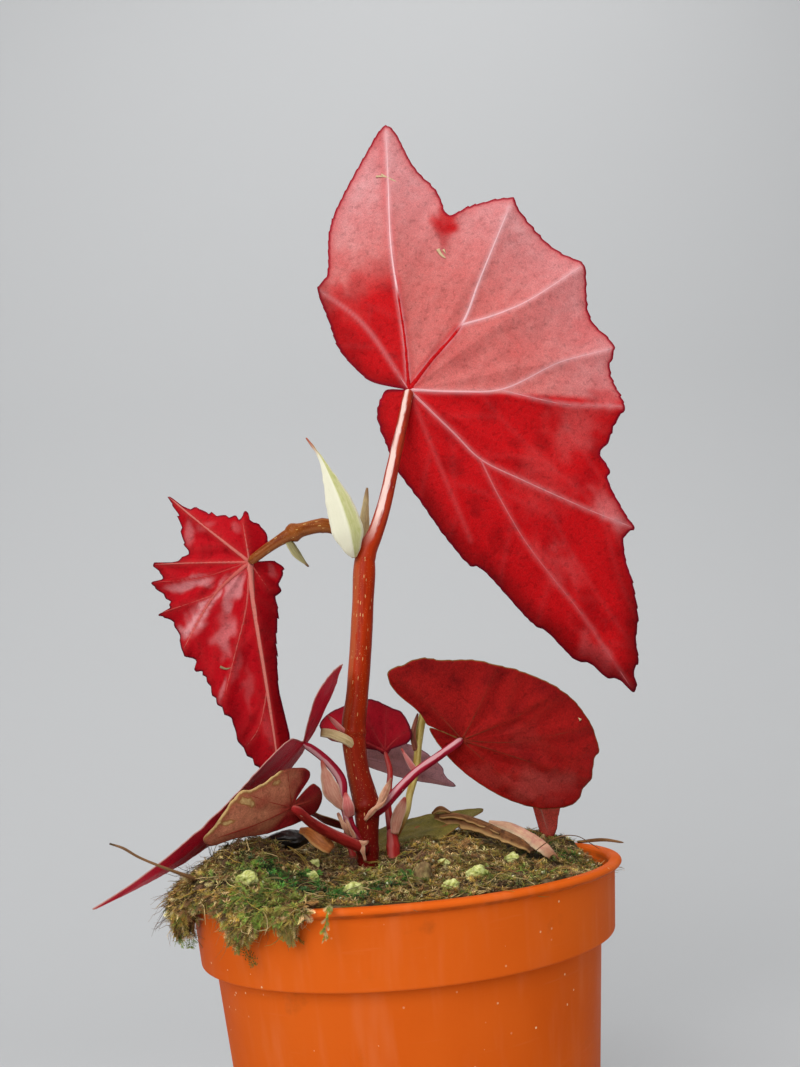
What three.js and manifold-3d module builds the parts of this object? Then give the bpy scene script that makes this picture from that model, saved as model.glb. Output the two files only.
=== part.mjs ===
// Potted begonia: a nursery pot of moss-covered soil with a young red-leaved plant.
// Millimetres, +Z up. The origin is the middle of the pot's base, on the surface it stands on.
// The plant is shown from the -Y side, where the undersides of most leaves are seen.
import * as THREE from 'three';
import { mergeVertices } from 'three/addons/utils/BufferGeometryUtils.js';
import Module from 'manifold-3d';

const wasm = await Module();
wasm.setup();

// ---------------------------------------------------------------- driving sizes
const gap = 0.3;                 // clearance between pieces that touch
const bladeThickness = 0.7;
const potHeight = 70;
const lipRadius = 40;
const lipHeight = 1.15;
const bandTopRadius = 38.67;
const bandHeight = 11.7;
const bandBottomRadius = 37.3;
const bodyTopRadius = 34.9;
const baseRadius = 26;
const wall = 1.0;
const floorThickness = 1.3;
const potSides = 48;
const stepsPerPoint = 1.5;       // rings along a stem for each point of its path
const drainHoleRadius = 2.5;
const drainHoleCircle = 19.5;
const drainHoles = 6;
const mossThickness = 3;
const mossEdgeRadius = bandTopRadius - wall - gap - 0.15;
const tuftHeight = 0.55;         // random rise and fall of the moss surface
const soilFloor = floorThickness + gap;

// ---------------------------------------------------------------- colours
const finish = {
  pot: { color: '#d2611f', roughness: 0.5 },
  soil: { color: '#3a2c20', roughness: 0.95 },
  moss: { color: '#5f6a2c', roughness: 0.95 },
  stem: { color: '#a8371b', roughness: 0.4 },
  petiole: { color: '#b0403a', roughness: 0.4 },
  oldPetiole: { color: '#b99a55', roughness: 0.6 },
  leaf: { color: '#b01a26', roughness: 0.38 },
  darkLeaf: { color: '#7d1a1c', roughness: 0.55 },
  greyLeaf: { color: '#7a4a58', roughness: 0.5 },
  oliveLeaf: { color: '#7f7440', roughness: 0.7 },
  stipule: { color: '#d9d8a4', roughness: 0.6 },
  pinkStipule: { color: '#c88a70', roughness: 0.6 },
  dry: { color: '#b08a5c', roughness: 0.8 },
  bark: { color: '#1c1a18', roughness: 0.45 },
  perlite: { color: '#cfd69a', roughness: 0.85 },
};

function vector([x, y, z]) {
  return new THREE.Vector3(x, y, z);
}

// A fixed stream of numbers from 0 to 1, the same at every run.
function randomStream(seed) {
  let state = seed;
  return () => {
    state = (state * 1664525 + 1013904223) % 4294967296;
    return state / 4294967296;
  };
}

function smooth(value) {
  return THREE.MathUtils.smoothstep(value, 0, 1);
}

// Reads a value off a short list of [place, value] pairs in rising order.
function readOff(pairs, place) {
  if (place <= pairs[0][0]) return pairs[0][1];
  for (let i = 1; i < pairs.length; i += 1) {
    const [from, low] = pairs[i - 1];
    const [to, high] = pairs[i];
    if (place <= to) return low + (high - low) * smooth((place - from) / (to - from));
  }
  return pairs[pairs.length - 1][1];
}

// ---------------------------------------------------------------- from surfaces to solids
function geometryOf(points, faces) {
  const geometry = new THREE.BufferGeometry();
  geometry.setAttribute('position', new THREE.Float32BufferAttribute(points.flatMap((p) => p.toArray()), 3));
  geometry.setIndex(faces.flat());
  return geometry;
}

function volumeOf(vertices, triangles) {
  const [a, b, c] = [new THREE.Vector3(), new THREE.Vector3(), new THREE.Vector3()];
  let volume = 0;
  for (let i = 0; i < triangles.length; i += 3) {
    a.fromArray(vertices, triangles[i] * 3);
    b.fromArray(vertices, triangles[i + 1] * 3);
    c.fromArray(vertices, triangles[i + 2] * 3);
    volume += a.dot(b.cross(c)) / 6;
  }
  return volume;
}

function solid(geometry) {
  const bare = geometry.clone();
  bare.deleteAttribute('normal');
  bare.deleteAttribute('uv');
  const merged = mergeVertices(bare, 1e-4);
  const vertProperties = Float32Array.from(merged.attributes.position.array);
  const triVerts = Uint32Array.from(merged.index.array);
  if (volumeOf(vertProperties, triVerts) < 0) triVerts.reverse();
  return new wasm.Manifold(new wasm.Mesh({ numProp: 3, vertProperties, triVerts }));
}

// The biggest loose body of a cut solid: the small scraps are dropped.
function largest(cutSolid) {
  const pieces = cutSolid.decompose();
  return pieces.reduce((best, piece) => (piece.volume() > best.volume() ? piece : best));
}

// A closed body from two stacks of rings round two centres: an outer skin and an inner one.
function fanBody(topCentre, topRings, bottomCentre, bottomRings) {
  const count = topRings[0].length;
  const points = [topCentre, bottomCentre, ...topRings.flat(), ...bottomRings.flat()];
  const top = (ring, i) => 2 + ring * count + (i % count);
  const bottom = (ring, i) => top(ring, i) + topRings.length * count;
  const outer = topRings.length - 1;
  const faces = [];
  for (let i = 0; i < count; i += 1) {
    faces.push([0, top(0, i), top(0, i + 1)], [1, bottom(0, i + 1), bottom(0, i)]);
    for (let ring = 0; ring < outer; ring += 1) {
      faces.push([top(ring, i), top(ring + 1, i), top(ring + 1, i + 1)]);
      faces.push([top(ring, i), top(ring + 1, i + 1), top(ring, i + 1)]);
      faces.push([bottom(ring, i), bottom(ring + 1, i + 1), bottom(ring + 1, i)]);
      faces.push([bottom(ring, i), bottom(ring, i + 1), bottom(ring + 1, i + 1)]);
    }
    faces.push([top(outer, i), bottom(outer, i), bottom(outer, i + 1)]);
    faces.push([top(outer, i), bottom(outer, i + 1), top(outer, i + 1)]);
  }
  return solid(geometryOf(points, faces));
}

// A closed body through a row of rings, with a point closing each end.
function loftBody(rings, startPoint, endPoint) {
  const count = rings[0].length;
  const points = [startPoint, endPoint, ...rings.flat()];
  const at = (ring, i) => 2 + ring * count + (i % count);
  const last = rings.length - 1;
  const faces = [];
  for (let i = 0; i < count; i += 1) {
    faces.push([0, at(0, i + 1), at(0, i)], [1, at(last, i), at(last, i + 1)]);
    for (let ring = 0; ring < last; ring += 1) {
      faces.push([at(ring, i), at(ring, i + 1), at(ring + 1, i + 1)]);
      faces.push([at(ring, i), at(ring + 1, i + 1), at(ring + 1, i)]);
    }
  }
  return solid(geometryOf(points, faces));
}

// ---------------------------------------------------------------- stems and slips
// path: rows of x, y, z and radius. grow makes the clearance body that neighbours are cut by.
function stemBody(path, sides, grow = 0) {
  const curve = new THREE.CatmullRomCurve3(path.map(vector), false, 'centripetal');
  const steps = Math.round((path.length - 1) * stepsPerPoint);
  const { normals, binormals, tangents } = curve.computeFrenetFrames(steps, false);
  const rings = [];
  for (let step = 0; step <= steps; step += 1) {
    const centre = curve.getPointAt(step / steps);
    const place = curve.getUtoTmapping(step / steps) * (path.length - 1);
    const from = Math.min(Math.floor(place), path.length - 2);
    const radius = THREE.MathUtils.lerp(path[from][3], path[from + 1][3], place - from) + grow;
    if (step === 0) centre.addScaledVector(tangents[0], -grow);
    if (step === steps) centre.addScaledVector(tangents[steps], grow);
    const ring = [];
    for (let side = 0; side < sides; side += 1) {
      const turn = (side / sides) * 2 * Math.PI;
      ring.push(centre.clone()
        .addScaledVector(normals[step], radius * Math.cos(turn))
        .addScaledVector(binormals[step], radius * Math.sin(turn)));
    }
    rings.push(ring);
  }
  const start = curve.getPointAt(0).addScaledVector(tangents[0], -grow);
  const end = curve.getPointAt(1).addScaledVector(tangents[steps], grow);
  return loftBody(rings, start, end);
}

// A thin slip such as a stipule: rows of x, y, z and half width, facing one way.
function slipBody(path, facing, thickness, grow = 0) {
  const curve = new THREE.CatmullRomCurve3(path.map(vector), false, 'centripetal');
  const steps = Math.round((path.length - 1) * stepsPerPoint);
  const face = vector(facing).normalize();
  const corners = [[1, 0], [0.55, 1], [-0.55, 1], [-1, 0], [-0.55, -1], [0.55, -1]];
  const rings = [];
  for (let step = 0; step <= steps; step += 1) {
    const centre = curve.getPointAt(step / steps);
    const tangent = curve.getTangentAt(step / steps);
    const place = curve.getUtoTmapping(step / steps) * (path.length - 1);
    const from = Math.min(Math.floor(place), path.length - 2);
    const halfWidth = THREE.MathUtils.lerp(path[from][3], path[from + 1][3], place - from) + grow;
    const across = new THREE.Vector3().crossVectors(tangent, face).normalize();
    const out = new THREE.Vector3().crossVectors(across, tangent).normalize();
    const rise = thickness / 2 + grow;
    rings.push(corners.map(([side, up]) => centre.clone()
      .addScaledVector(across, side * halfWidth)
      .addScaledVector(out, up * rise)));
  }
  return loftBody(rings, curve.getPointAt(0), curve.getPointAt(1));
}

// ---------------------------------------------------------------- leaves
// A blade is a sheet round the place where its petiole joins. Its outline is given as
// [across, along] sizes: along points to the main tip, across to the side, seen from above.
function leafFrame(leaf) {
  const along = vector(leaf.along).normalize();
  const face = vector(leaf.face);
  face.addScaledVector(along, -face.dot(along)).normalize();
  const across = new THREE.Vector3().crossVectors(along, face);
  return { along, face, across };
}

// How far the blade rises towards its upper side at a place on it.
function leafRise(leaf, across, along) {
  const reach = Math.hypot(across, along);
  const { cup = 0, pleat = 0, veins = [], rightFold = 0, baseFold = 0, sag = 0 } = leaf;
  let rise = cup * reach * reach + rightFold * Math.max(0, across) + baseFold * Math.max(0, -along);
  if (sag) {
    const share = THREE.MathUtils.clamp(along / leaf.length, 0, 1);
    rise -= sag * 4 * share * (1 - share);
  }
  if (veins.length > 0) {
    let turn = THREE.MathUtils.radToDeg(Math.atan2(across, along));
    if (turn < veins[0]) turn += 360;
    const around = [...veins, veins[0] + 360];
    const next = around.findIndex((vein) => vein > turn);
    const [from, to] = [around[next - 1], around[next]];
    const width = Math.min(1, (to - from) / 40);
    rise += pleat * width * reach * Math.sin(Math.PI * (turn - from) / (to - from));
  }
  return rise;
}

function leafPoint(leaf, across, along, lift) {
  const frame = leafFrame(leaf);
  return vector(leaf.at)
    .addScaledVector(frame.across, across)
    .addScaledVector(frame.along, along)
    .addScaledVector(frame.face, leafRise(leaf, across, along) + lift);
}

function leafBody(leaf, grow = 0) {
  const half = bladeThickness / 2 + grow;
  const ringsAt = (lift) => leaf.rings.map((share) => leaf.outline.map(([across, along]) => {
    const reach = share * (1 + grow / Math.hypot(across, along));
    return leafPoint(leaf, across * reach, along * reach, lift);
  }));
  return fanBody(leafPoint(leaf, 0, 0, half), ringsAt(half), leafPoint(leaf, 0, 0, -half), ringsAt(-half));
}

// Where the petiole ends, on the underside of the blade.
function leafSeat(leaf, radius) {
  const seat = leafPoint(leaf, 0, 0, -bladeThickness / 2 - gap);
  return [...seat.toArray(), radius];
}

const topLeaf = {
  at: [9.6, 5, 169.2],
  along: [0.52, 0.1, -0.85],
  face: [0.03, 0.99, 0.13],
  cup: 0.0014,
  pleat: 0.06,
  veins: [-175, -14, 0, 22, 50, 66, 91, 116, 149],
  rings: [0.15, 0.4, 0.7, 1],
  outline: [
    [35.5, -57.7], [34.2, -44.6], [34.8, -36.2], [33.2, -30.8], [33.9, -29.6], [38.8, -28.9],
    [47.9, -23.9], [47.3, -21.9], [47.7, -12.7], [49.2, -6], [50.7, -2.9], [51, -1],
    [45.1, 8.6], [44.5, 12.4], [45, 15.9], [44.3, 18.8], [40.6, 22], [39.4, 25.7],
    [37.8, 31.1], [33.9, 32.8], [29.9, 35.6], [27.2, 36.1], [26.6, 40.8], [25.2, 41.7],
    [23.2, 51.9], [23.1, 54.2], [20, 54.7], [17.5, 59.1], [16, 64], [12.4, 71.3],
    [8.7, 75.6], [6.8, 79.1], [4.2, 80.7], [3, 83.4], [1.5, 84.2], [0.2, 79.5],
    [-1.6, 77.9], [-2.9, 73], [-4.9, 70.7], [-6.7, 61.4], [-8.1, 58.3], [-10.7, 41.1],
    [-12, 39.6], [-12.8, 31.3], [-12.6, 21], [-12.6, 12.7], [-11.5, 8.1], [-9.9, 2.4],
    [-8.9, 0.2], [-6.3, -2.1], [-3.9, -3], [-0.8, -0.8], [-4, -4.5], [-5.8, -7.3],
    [-7, -14.6], [-6.8, -18.1], [-5, -24], [-2.4, -32.1], [1, -33.6], [7.3, -42.1],
    [11.4, -46.1], [17, -49.6], [25.2, -53.8],
  ],
};

const leftLeaf = {
  at: [-26, -4, 130.4],
  along: [0.08, 0.13, -0.99],
  face: [0.15, 0.98, 0.14],
  cup: 0.002,
  pleat: 0.08,
  rightFold: 0.8,
  veins: [-178, -137, -99, -88, -71, -47, -19, 0, 28],
  rings: [0.3, 0.65, 1],
  outline: [
    [-15.4, -16.5], [-11.4, -13.1], [-9.7, -13], [-6.9, -11.1], [-4.7, -10.5], [-0.6, -9],
    [0.2, -9.9], [1.4, -7.8], [2.5, -7.1], [3.3, -4.4], [2.1, -1.1], [0.9, -0.2], [3.6, 0.1],
    [4.7, 1], [5.1, 2.8], [4.1, 4.8], [4.4, 6.3], [3.3, 7.3], [3.3, 10.2], [2.6, 13.2],
    [1.7, 20.4], [1.3, 26.9], [1.9, 31.2], [1.3, 38.2], [0.5, 43], [-1.5, 46.8], [-3.9, 43.5],
    [-8.3, 35.1], [-9.3, 29.4], [-11.4, 26.4], [-13.7, 19.9], [-14.8, 19.3], [-14.7, 17.3],
    [-16.6, 15.6], [-17.2, 12.3], [-18.6, 8.5], [-20.5, 7.2], [-17.6, 5.9], [-21.2, 0.5],
    [-18.8, 0], [-20.3, -3.3], [-15.5, -2.8], [-12.6, -4.3], [-13.7, -6.6], [-13.8, -12.2],
  ],
};

const rightLeaf = {
  at: [12.6, -8, 92.4],
  along: [0.9, 0.19, -0.39],
  face: [-0.03, 0.93, 0.37],
  cup: 0.004,
  pleat: 0.03,
  veins: [-22, 2, 26, 46, 85, 157],
  rings: [0.25, 0.5, 0.75, 1],
  outline: [
    [7, -17.3], [9.1, -15.1], [10.5, -13.8], [11.7, -11.7], [12.4, -8.8], [14.6, -3],
    [15.3, 2.3], [15.6, 5.8], [15.3, 12.2], [14.6, 15.5], [13.3, 18.9], [9.9, 23.8],
    [8, 25.5], [5.8, 27.1], [4.3, 26.7], [0.3, 27.5], [-2, 27], [-4.8, 27], [-6.5, 25.4],
    [-8, 21], [-8.4, 17.7], [-8.4, 14.2], [-8, 10.7], [-6.3, 4], [-4.3, -0.7], [-3.1, -2.6],
    [-1.8, -4.3], [-0.4, -5.8], [0.05, -1], [1.2, -7], [2.1, -9.6], [3.6, -13.9],
    [4.7, -15.8], [5.9, -16.9],
  ],
};

const edgeOnLeaf = {
  at: [-16.6, -10, 94.2],
  along: [-0.8, -0.23, -0.55],
  face: [-0.586, 0.129, 0.8],
  length: 43.2,
  sag: 2,
  baseFold: 0.44,
  rings: [0.3, 0.65, 1],
  outline: [
    [0, 43.2], [-1.5, 35], [-4, 27], [-7, 20], [-9, 14], [-11, 10], [-11.5, 6], [-10, 3],
    [-6, 1.5], [-1, -0.1], [-5.5, -1.4], [-9, -2.6], [-13, -4.2], [-13.5, -5.5],
    [-11.4, -8.5], [-7, -12], [-1.8, -14.3], [0, -12.7], [3, -12.2], [5, -11], [6, -8],
    [6.5, -3], [9, 2], [11, 6], [12, 13], [11.5, 20], [9.5, 27], [5.5, 35],
  ],
};

const driedEdgeLeaf = {
  at: [-18, -22, 83.9],
  along: [-0.71, -0.66, -0.23],
  face: [-0.69, 0.62, 0.37],
  cup: 0.006,
  rings: [0.35, 0.7, 1],
  outline: [
    [1, 15.6], [0.1, 15.7], [-0.8, 14.5], [-2.3, 13], [-5.7, 9.2], [-5.4, 7.6], [-5.6, 5.2],
    [-6.7, 1.3], [-6.3, -1], [-5.3, -3.7], [-4.4, -4.5], [-3.5, -4.4], [-2.4, -3.2],
    [-0.6, -1.1], [-2, -5.2], [-0.7, -6.7], [0.5, -7.3], [2.2, -7.2], [3.4, -6.2],
    [3.6, -4.5], [3.8, -2.1], [3.5, 1.8], [3.1, 5.4], [1.9, 10.3], [1.7, 14.6],
  ],
};

const smallBackLeaf = {
  at: [-1.9, 6, 91.5],
  along: [-0.65, 0.39, 0.65],
  face: [0.45, 0.89, -0.09],
  cup: 0.006,
  rings: [0.35, 0.7, 1],
  outline: [
    [5.5, 17.1], [2.3, 16.5], [-1.6, 13.9], [-3.8, 12.2], [-5.5, 10.4], [-6.3, 9], [-7.6, 4.2],
    [-8.1, 2], [-7, -1.3], [-5.9, -2.7], [-4.3, -2.9], [-1.1, -0.8], [0.5, -0.7], [0.9, 1.4],
    [2.2, 3.9], [3.7, 7.2], [6.1, 11.9], [6.4, 13.8],
  ],
};

const behindLeaf = {
  at: [22.9, 9, 101.9],
  along: [0.21, 0.05, -0.98],
  face: [0.1, 0.98, 0.15],
  cup: 0.004,
  pleat: 0.03,
  veins: [-150, 0, 40, 90, 150],
  rings: [0.35, 0.7, 1],
  outline: [
    [0.2, 31.5], [-0.9, 30.1], [-0.8, 25.7], [-0.9, 22.6], [-2.4, 17.3], [-5, 12.3],
    [-7.2, 7.5], [-7.5, 3.1], [-6.2, 0.3], [-3.4, -1.5], [-1.9, -2.9], [-0.3, -1.2],
    [1.3, -3.9], [5.1, -1.9], [8.4, 1.2], [10.3, 5.3], [11.2, 10.9], [10.5, 17],
    [7.8, 22.6], [4.3, 26.6], [1.8, 31.1],
  ],
};

const greyBackLeaf = {
  at: [-7, 18, 90.9],
  along: [0.89, 0.16, -0.43],
  face: [0.03, 0.91, 0.41],
  cup: 0.006,
  rings: [0.35, 0.7, 1],
  outline: [
    [0.8, -2], [2.6, -1.6], [4.6, -0.4], [5.7, 2.1], [6, 6.1], [6, 10.3], [5.6, 12.6],
    [3.6, 17.1], [1.9, 18.7], [0.3, 22], [-0.6, 16.6], [-1.4, 11.1], [-1.7, 5.7],
    [-1.7, 1], [-1.2, -1.2], [-0.2, -0.7],
  ],
};

const oldLeaf = {
  at: [-6.5, 9, 73.4],
  along: [0.94, 0.28, 0.17],
  face: [-0.08, -0.4, 0.91],
  cup: 0.0005,
  rings: [0.35, 0.7, 1],
  outline: [
    [0, 25.5], [-2.5, 21], [-4.5, 16], [-5.5, 10], [-5, 4], [-3.5, -1], [-1.5, -3],
    [0, -0.8], [2, -4], [6, -2], [8, 3], [7.5, 9], [5, 15], [2.5, 20],
  ],
};

const lowLeaf = {
  at: [-11, 8, 77.4],
  along: [-0.9, 0.12, 0.34],
  face: [0.35, 0.3, 0.88],
  cup: 0.01,
  rings: [0.5, 1],
  outline: [
    [0, 8.6], [-2, 6.8], [-3, 4], [-2.8, 1], [-1.6, -1.2], [0, -0.7], [1.6, -1.2], [2.8, 1],
    [3, 4], [2, 6.8],
  ],
};

// ---------------------------------------------------------------- stems: x, y, z, radius
const mainStem = [
  [-6.8, -2.8, 59.5, 1.9], [-6.7, -3.1, 67, 2.1], [-6.5, -3.4, 72.4, 2.1],
  [-6.2, -3.6, 77.6, 2.1], [-6.1, -3.8, 82.1, 2.45], [-7.2, -4, 88.5, 2.1],
  [-7.5, -4, 95.9, 2.35], [-6.5, -3.6, 101.6, 2.2], [-5.1, -3, 111.2, 2.2],
  [-3.9, -2.4, 121.2, 2.2], [-3, -2, 129.5, 2.25], [-2.8, -2, 132.6, 2.1],
];

const rootTurns = [20, 95, 160, 235, 300];   // degrees round the buried base
const stemSides = 10;
const rootSides = 5;

const sideShoot = [
  [-2.1, 0, 62, 1.0], [-1.8, 0, 69.8, 1.3], [-1.7, 0.5, 75.1, 1.15], [-1.8, 1, 77.4, 0.95],
];

const topPetiole = [
  [-2.5, -2, 131.2, 1.8], [-0.3, -1.6, 134.6, 1.55], [1.9, -0.5, 141.2, 1.5],
  [4.2, 1, 149.3, 1.42], [6.9, 3, 159, 1.32], [8.7, 4.1, 165.6, 1.25], leafSeat(topLeaf, 1.2),
];

const leftBranch = [
  [-3.6, -2.2, 131.2, 1.6], [-6.6, -2.5, 135.5, 1.45], [-10.5, -3.3, 137, 1.4],
  [-14.6, -4, 136.4, 1.4], [-17.8, -4.6, 135.4, 1.55],
];

const leftPetiole = [
  [-17.4, -4.6, 135.6, 1.2], [-19.4, -4.8, 134.4, 1.15], [-22.6, -4.9, 132.5, 1.0],
  [-24.8, -4.9, 131, 0.95], leafSeat(leftLeaf, 0.9),
];

const rightPetiole = [
  [-5.2, -4.6, 80.6, 1.3], [-2.8, -5.4, 81.9, 1.25], [-0.9, -6, 83.5, 1.15],
  [3.4, -7.2, 87.1, 1.0], [7.7, -8.6, 89.6, 0.9], [10.8, -9.3, 91.4, 0.85],
  leafSeat(rightLeaf, 0.8),
];

const edgeOnPetiole = [
  [-7.2, -4.4, 75.4, 1.0], [-9.1, -5, 78.3, 0.95], [-9.7, -5.6, 81.2, 0.9],
  [-10.2, -6.2, 84, 0.9], [-10.2, -6.9, 86.9, 0.9], [-12.1, -8, 90.1, 0.8],
  [-14.6, -9, 92.6, 0.75], leafSeat(edgeOnLeaf, 0.7),
];

const driedEdgePetiole = [
  [-6.8, -5.4, 74.4, 1.0], [-9.6, -9, 76.4, 1.0], [-12.5, -12.6, 78.4, 0.95],
  [-15.3, -17.5, 80.9, 0.85], [-17, -21.2, 83.1, 0.75], leafSeat(driedEdgeLeaf, 0.7),
];

const smallBackPetiole = [
  [-1.8, 1, 76.6, 0.9], [-2.1, 2, 80.9, 0.65], [-1.6, 3.2, 84.9, 0.6],
  [-1.2, 4.2, 87.6, 0.6], leafSeat(smallBackLeaf, 0.55),
];

const yellowPetiole = [
  [-1.4, 0.8, 75.6, 0.85], [1.3, 2.5, 79.8, 0.75], [2.3, 3.6, 83, 0.75],
  [4, 5, 87.6, 0.8], [5, 6.2, 92.8, 0.8], [6.4, 6.9, 97.9, 0.85], [8.6, 7.5, 100.9, 0.85],
  [12.4, 7.8, 102.6, 0.85], [17.7, 8.1, 102.9, 0.8], leafSeat(behindLeaf, 0.8),
];

const greyBackPetiole = [
  [-7.2, 4.6, 66, 1.0], [-7.1, 5.2, 71, 1.0], [-7, 6.6, 76, 0.95], [-7.6, 9.6, 80.6, 0.9],
  [-8.2, 13.6, 86, 0.85], leafSeat(greyBackLeaf, 0.8),
];

const oldPetiole = [
  [-3.8, 4.2, 67.4, 0.9], [-4.6, 6, 70, 0.85], [-5.8, 8, 72, 0.8], leafSeat(oldLeaf, 0.75),
];

const lowPetiole = [
  [-9, 2.6, 68, 0.8], [-9.6, 4.6, 72.4, 0.7], [-10.6, 7, 75.8, 0.6], leafSeat(lowLeaf, 0.55),
];

// ---------------------------------------------------------------- slips: x, y, z, half width
const slips = {
  tip_stipule: {
    facing: [0, -1, 0.15], thickness: 0.9, look: finish.stipule,
    path: [
      [-5.6, -4.6, 129.9, 0.7], [-5.6, -5.4, 132, 2.4], [-5.8, -5.9, 135, 3.4],
      [-6.8, -6.2, 140, 3.1], [-8, -6.3, 143.9, 2.5], [-9.1, -6.2, 147, 1.5],
      [-10.6, -6, 150.9, 0.6], [-12, -5.8, 153.5, 0.45], [-13.1, -5.6, 155.4, 0.3],
    ],
  },
  narrow_stipule: {
    facing: [0.2, -1, 0], thickness: 0.8, look: finish.stipule,
    path: [[-3.4, 0.4, 131.6, 0.9], [-3, 1.6, 136.1, 1.1], [-2.2, 1.9, 141.4, 0.9], [-1.4, 1.8, 146, 0.35]],
  },
  knee_stipule: {
    facing: [0.5, -0.8, 0.3], thickness: 0.7, look: finish.dry,
    path: [[-18.2, -4.4, 134.4, 0.7], [-17.4, -4.6, 132.9, 1.1], [-16.3, -4.8, 130.9, 0.9], [-14.2, -5, 128.3, 0.3]],
  },
  node_stub: {
    facing: [0.1, -1, 0.3], thickness: 1.2, look: finish.dry,
    path: [[-7.9, -5.6, 93.3, 0.8], [-9.4, -7.2, 94.4, 0.9], [-11.6, -8, 95.4, 0.85], [-13.4, -8.6, 95.8, 0.8]],
  },
  left_spike: {
    facing: [0, -1, 0], thickness: 0.7, look: finish.pinkStipule,
    path: [[-8.6, -4.8, 94.9, 0.6], [-10.2, -6.4, 96.8, 0.5], [-12.1, -7, 99, 0.3]],
  },
  right_spike: {
    facing: [0, -1, 0], thickness: 0.7, look: finish.pinkStipule,
    path: [[3.9, 4.3, 87, 0.55], [2.5, 3.4, 89.5, 0.5], [1.4, 2.8, 91.8, 0.3]],
  },
  petiole_sheath: {
    facing: [0.2, -1, 0.2], thickness: 0.7, look: finish.dry,
    path: [[-6, -6.2, 79.8, 1.1], [-3.8, -7.6, 82, 1.2], [-2.4, -8, 84.1, 1.1], [-1, -8.2, 86.7, 0.4]],
  },
  left_stipule: {
    facing: [0.2, -1, 0.1], thickness: 0.7, look: finish.pinkStipule,
    path: [[-10.3, -6.8, 82, 0.5], [-12, -8, 85.1, 1.5], [-12.9, -8.6, 88.2, 1], [-13.5, -9, 90.9, 0.35]],
  },
  pink_stipule: {
    facing: [0, -1, 0], thickness: 0.7, look: finish.pinkStipule,
    path: [[-9.2, -6, 80.6, 0.9], [-9.3, -7.4, 82.6, 1.1], [-9.6, -7.8, 84.8, 0.35]],
  },
  side_shoot_stipule: {
    facing: [0, -1, 0], thickness: 0.7, look: finish.pinkStipule,
    path: [[-1.2, -0.8, 76.4, 0.8], [-0.5, -1.6, 79.1, 1.1], [0.4, -1.9, 80.9, 1], [1.3, -2, 82.8, 0.35]],
  },
  dry_sheath: {
    facing: [0, -1, 0], thickness: 0.7, look: finish.dry,
    path: [[-9, -6.2, 77.2, 0.9], [-10.4, -7.8, 79.5, 0.9], [-11.2, -8, 81.4, 0.4]],
  },
  base_sheath: {
    facing: [0, -1, 0.2], thickness: 0.7, look: finish.dry,
    path: [[-6.6, -5.6, 72.6, 0.8], [-7.5, -7.2, 74.2, 0.9], [-8.5, -7.9, 75.9, 0.5]],
  },
  brown_stipule: {
    facing: [0, -1, 0], thickness: 0.7, look: finish.dry,
    path: [[4.2, 5.4, 91.2, 0.5], [4, 5, 94.5, 0.6], [5.3, 5.4, 98.4, 0.3]],
  },
  brown_curl: {
    facing: [0.1, -0.5, 0.85], thickness: 1.6, look: finish.dry,
    path: [
      [7.4, 16, 76.2, 1], [11.2, 14, 75.3, 1.6], [15.4, 10, 74, 1.8], [18.9, 4.4, 72.5, 1.7],
      [22.1, 0, 71.2, 1.5], [23.9, -4.6, 70.2, 0.9],
    ],
  },
  pink_strip: {
    facing: [0.2, -0.5, 0.85], thickness: 0.9, look: finish.pinkStipule,
    path: [
      [18.5, 12, 74.3, 0.9], [21.6, 9, 73, 1.4], [24.2, 2.5, 71.4, 1.5], [25.7, -5, 70.5, 1.5],
      [26.3, -12, 70.1, 1.1],
    ],
  },
  orange_curl: {
    facing: [0.3, -0.8, 0.4], thickness: 0.8, look: finish.dry,
    path: [[-17.9, -8, 78.9, 0.8], [-15.9, -10, 78.4, 1.4], [-14.1, -11.2, 77, 1.6], [-12.3, -11.8, 75.4, 0.9]],
  },
};

// ---------------------------------------------------------------- twigs: x, y, z, radius
const twigs = {
  left_twig: [[-46.6, -26, 80.8, 0.4], [-42, -26, 78.6, 0.42], [-38.3, -25, 76.2, 0.42], [-33.4, -22.6, 73.8, 0.4]],
  right_twig: [[36.2, 14.6, 70.2, 0.32], [40.7, 11, 70.6, 0.32], [43.9, 8, 70.1, 0.3]],
};

// ---------------------------------------------------------------- the moss surface
const mossLevel = 70.1;
const heap = { x: -27, y: -13, rise: 8.4, reachX: 11, reachY: 20 };
const mounds = [{ x: -3, y: 0, rise: 2, reach: 14 }, { x: 13, y: 6, rise: 1.9, reach: 9 }];
const rightDip = { from: 24, over: 13, depth: 2.6 };
const backRise = { from: 2, over: 18, rise: 3.2 };
const heapFloor = potHeight + 1;      // above this height the heap is moss all through

function mossHeight(x, y) {
  const onHeap = heap.rise * Math.exp(-(((x - heap.x) / heap.reachX) ** 2) - ((y - heap.y) / heap.reachY) ** 2);
  const onMounds = mounds.reduce((sum, mound) => (
    sum + mound.rise * Math.exp(-(((x - mound.x) ** 2) + (y - mound.y) ** 2) / mound.reach ** 2)
  ), 0);
  const back = smooth((y - backRise.from) / backRise.over);
  const dip = rightDip.depth * smooth((x - rightDip.from) / rightDip.over) * (1 - back);
  const edge = smooth((Math.hypot(x, y) - 30) / 8);
  return mossLevel + onHeap + onMounds + backRise.rise * back * (1 - 0.4 * edge) - dip;
}

function mossFloor(x, y) {
  return Math.min(mossHeight(x, y) - mossThickness, heapFloor);
}

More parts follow.
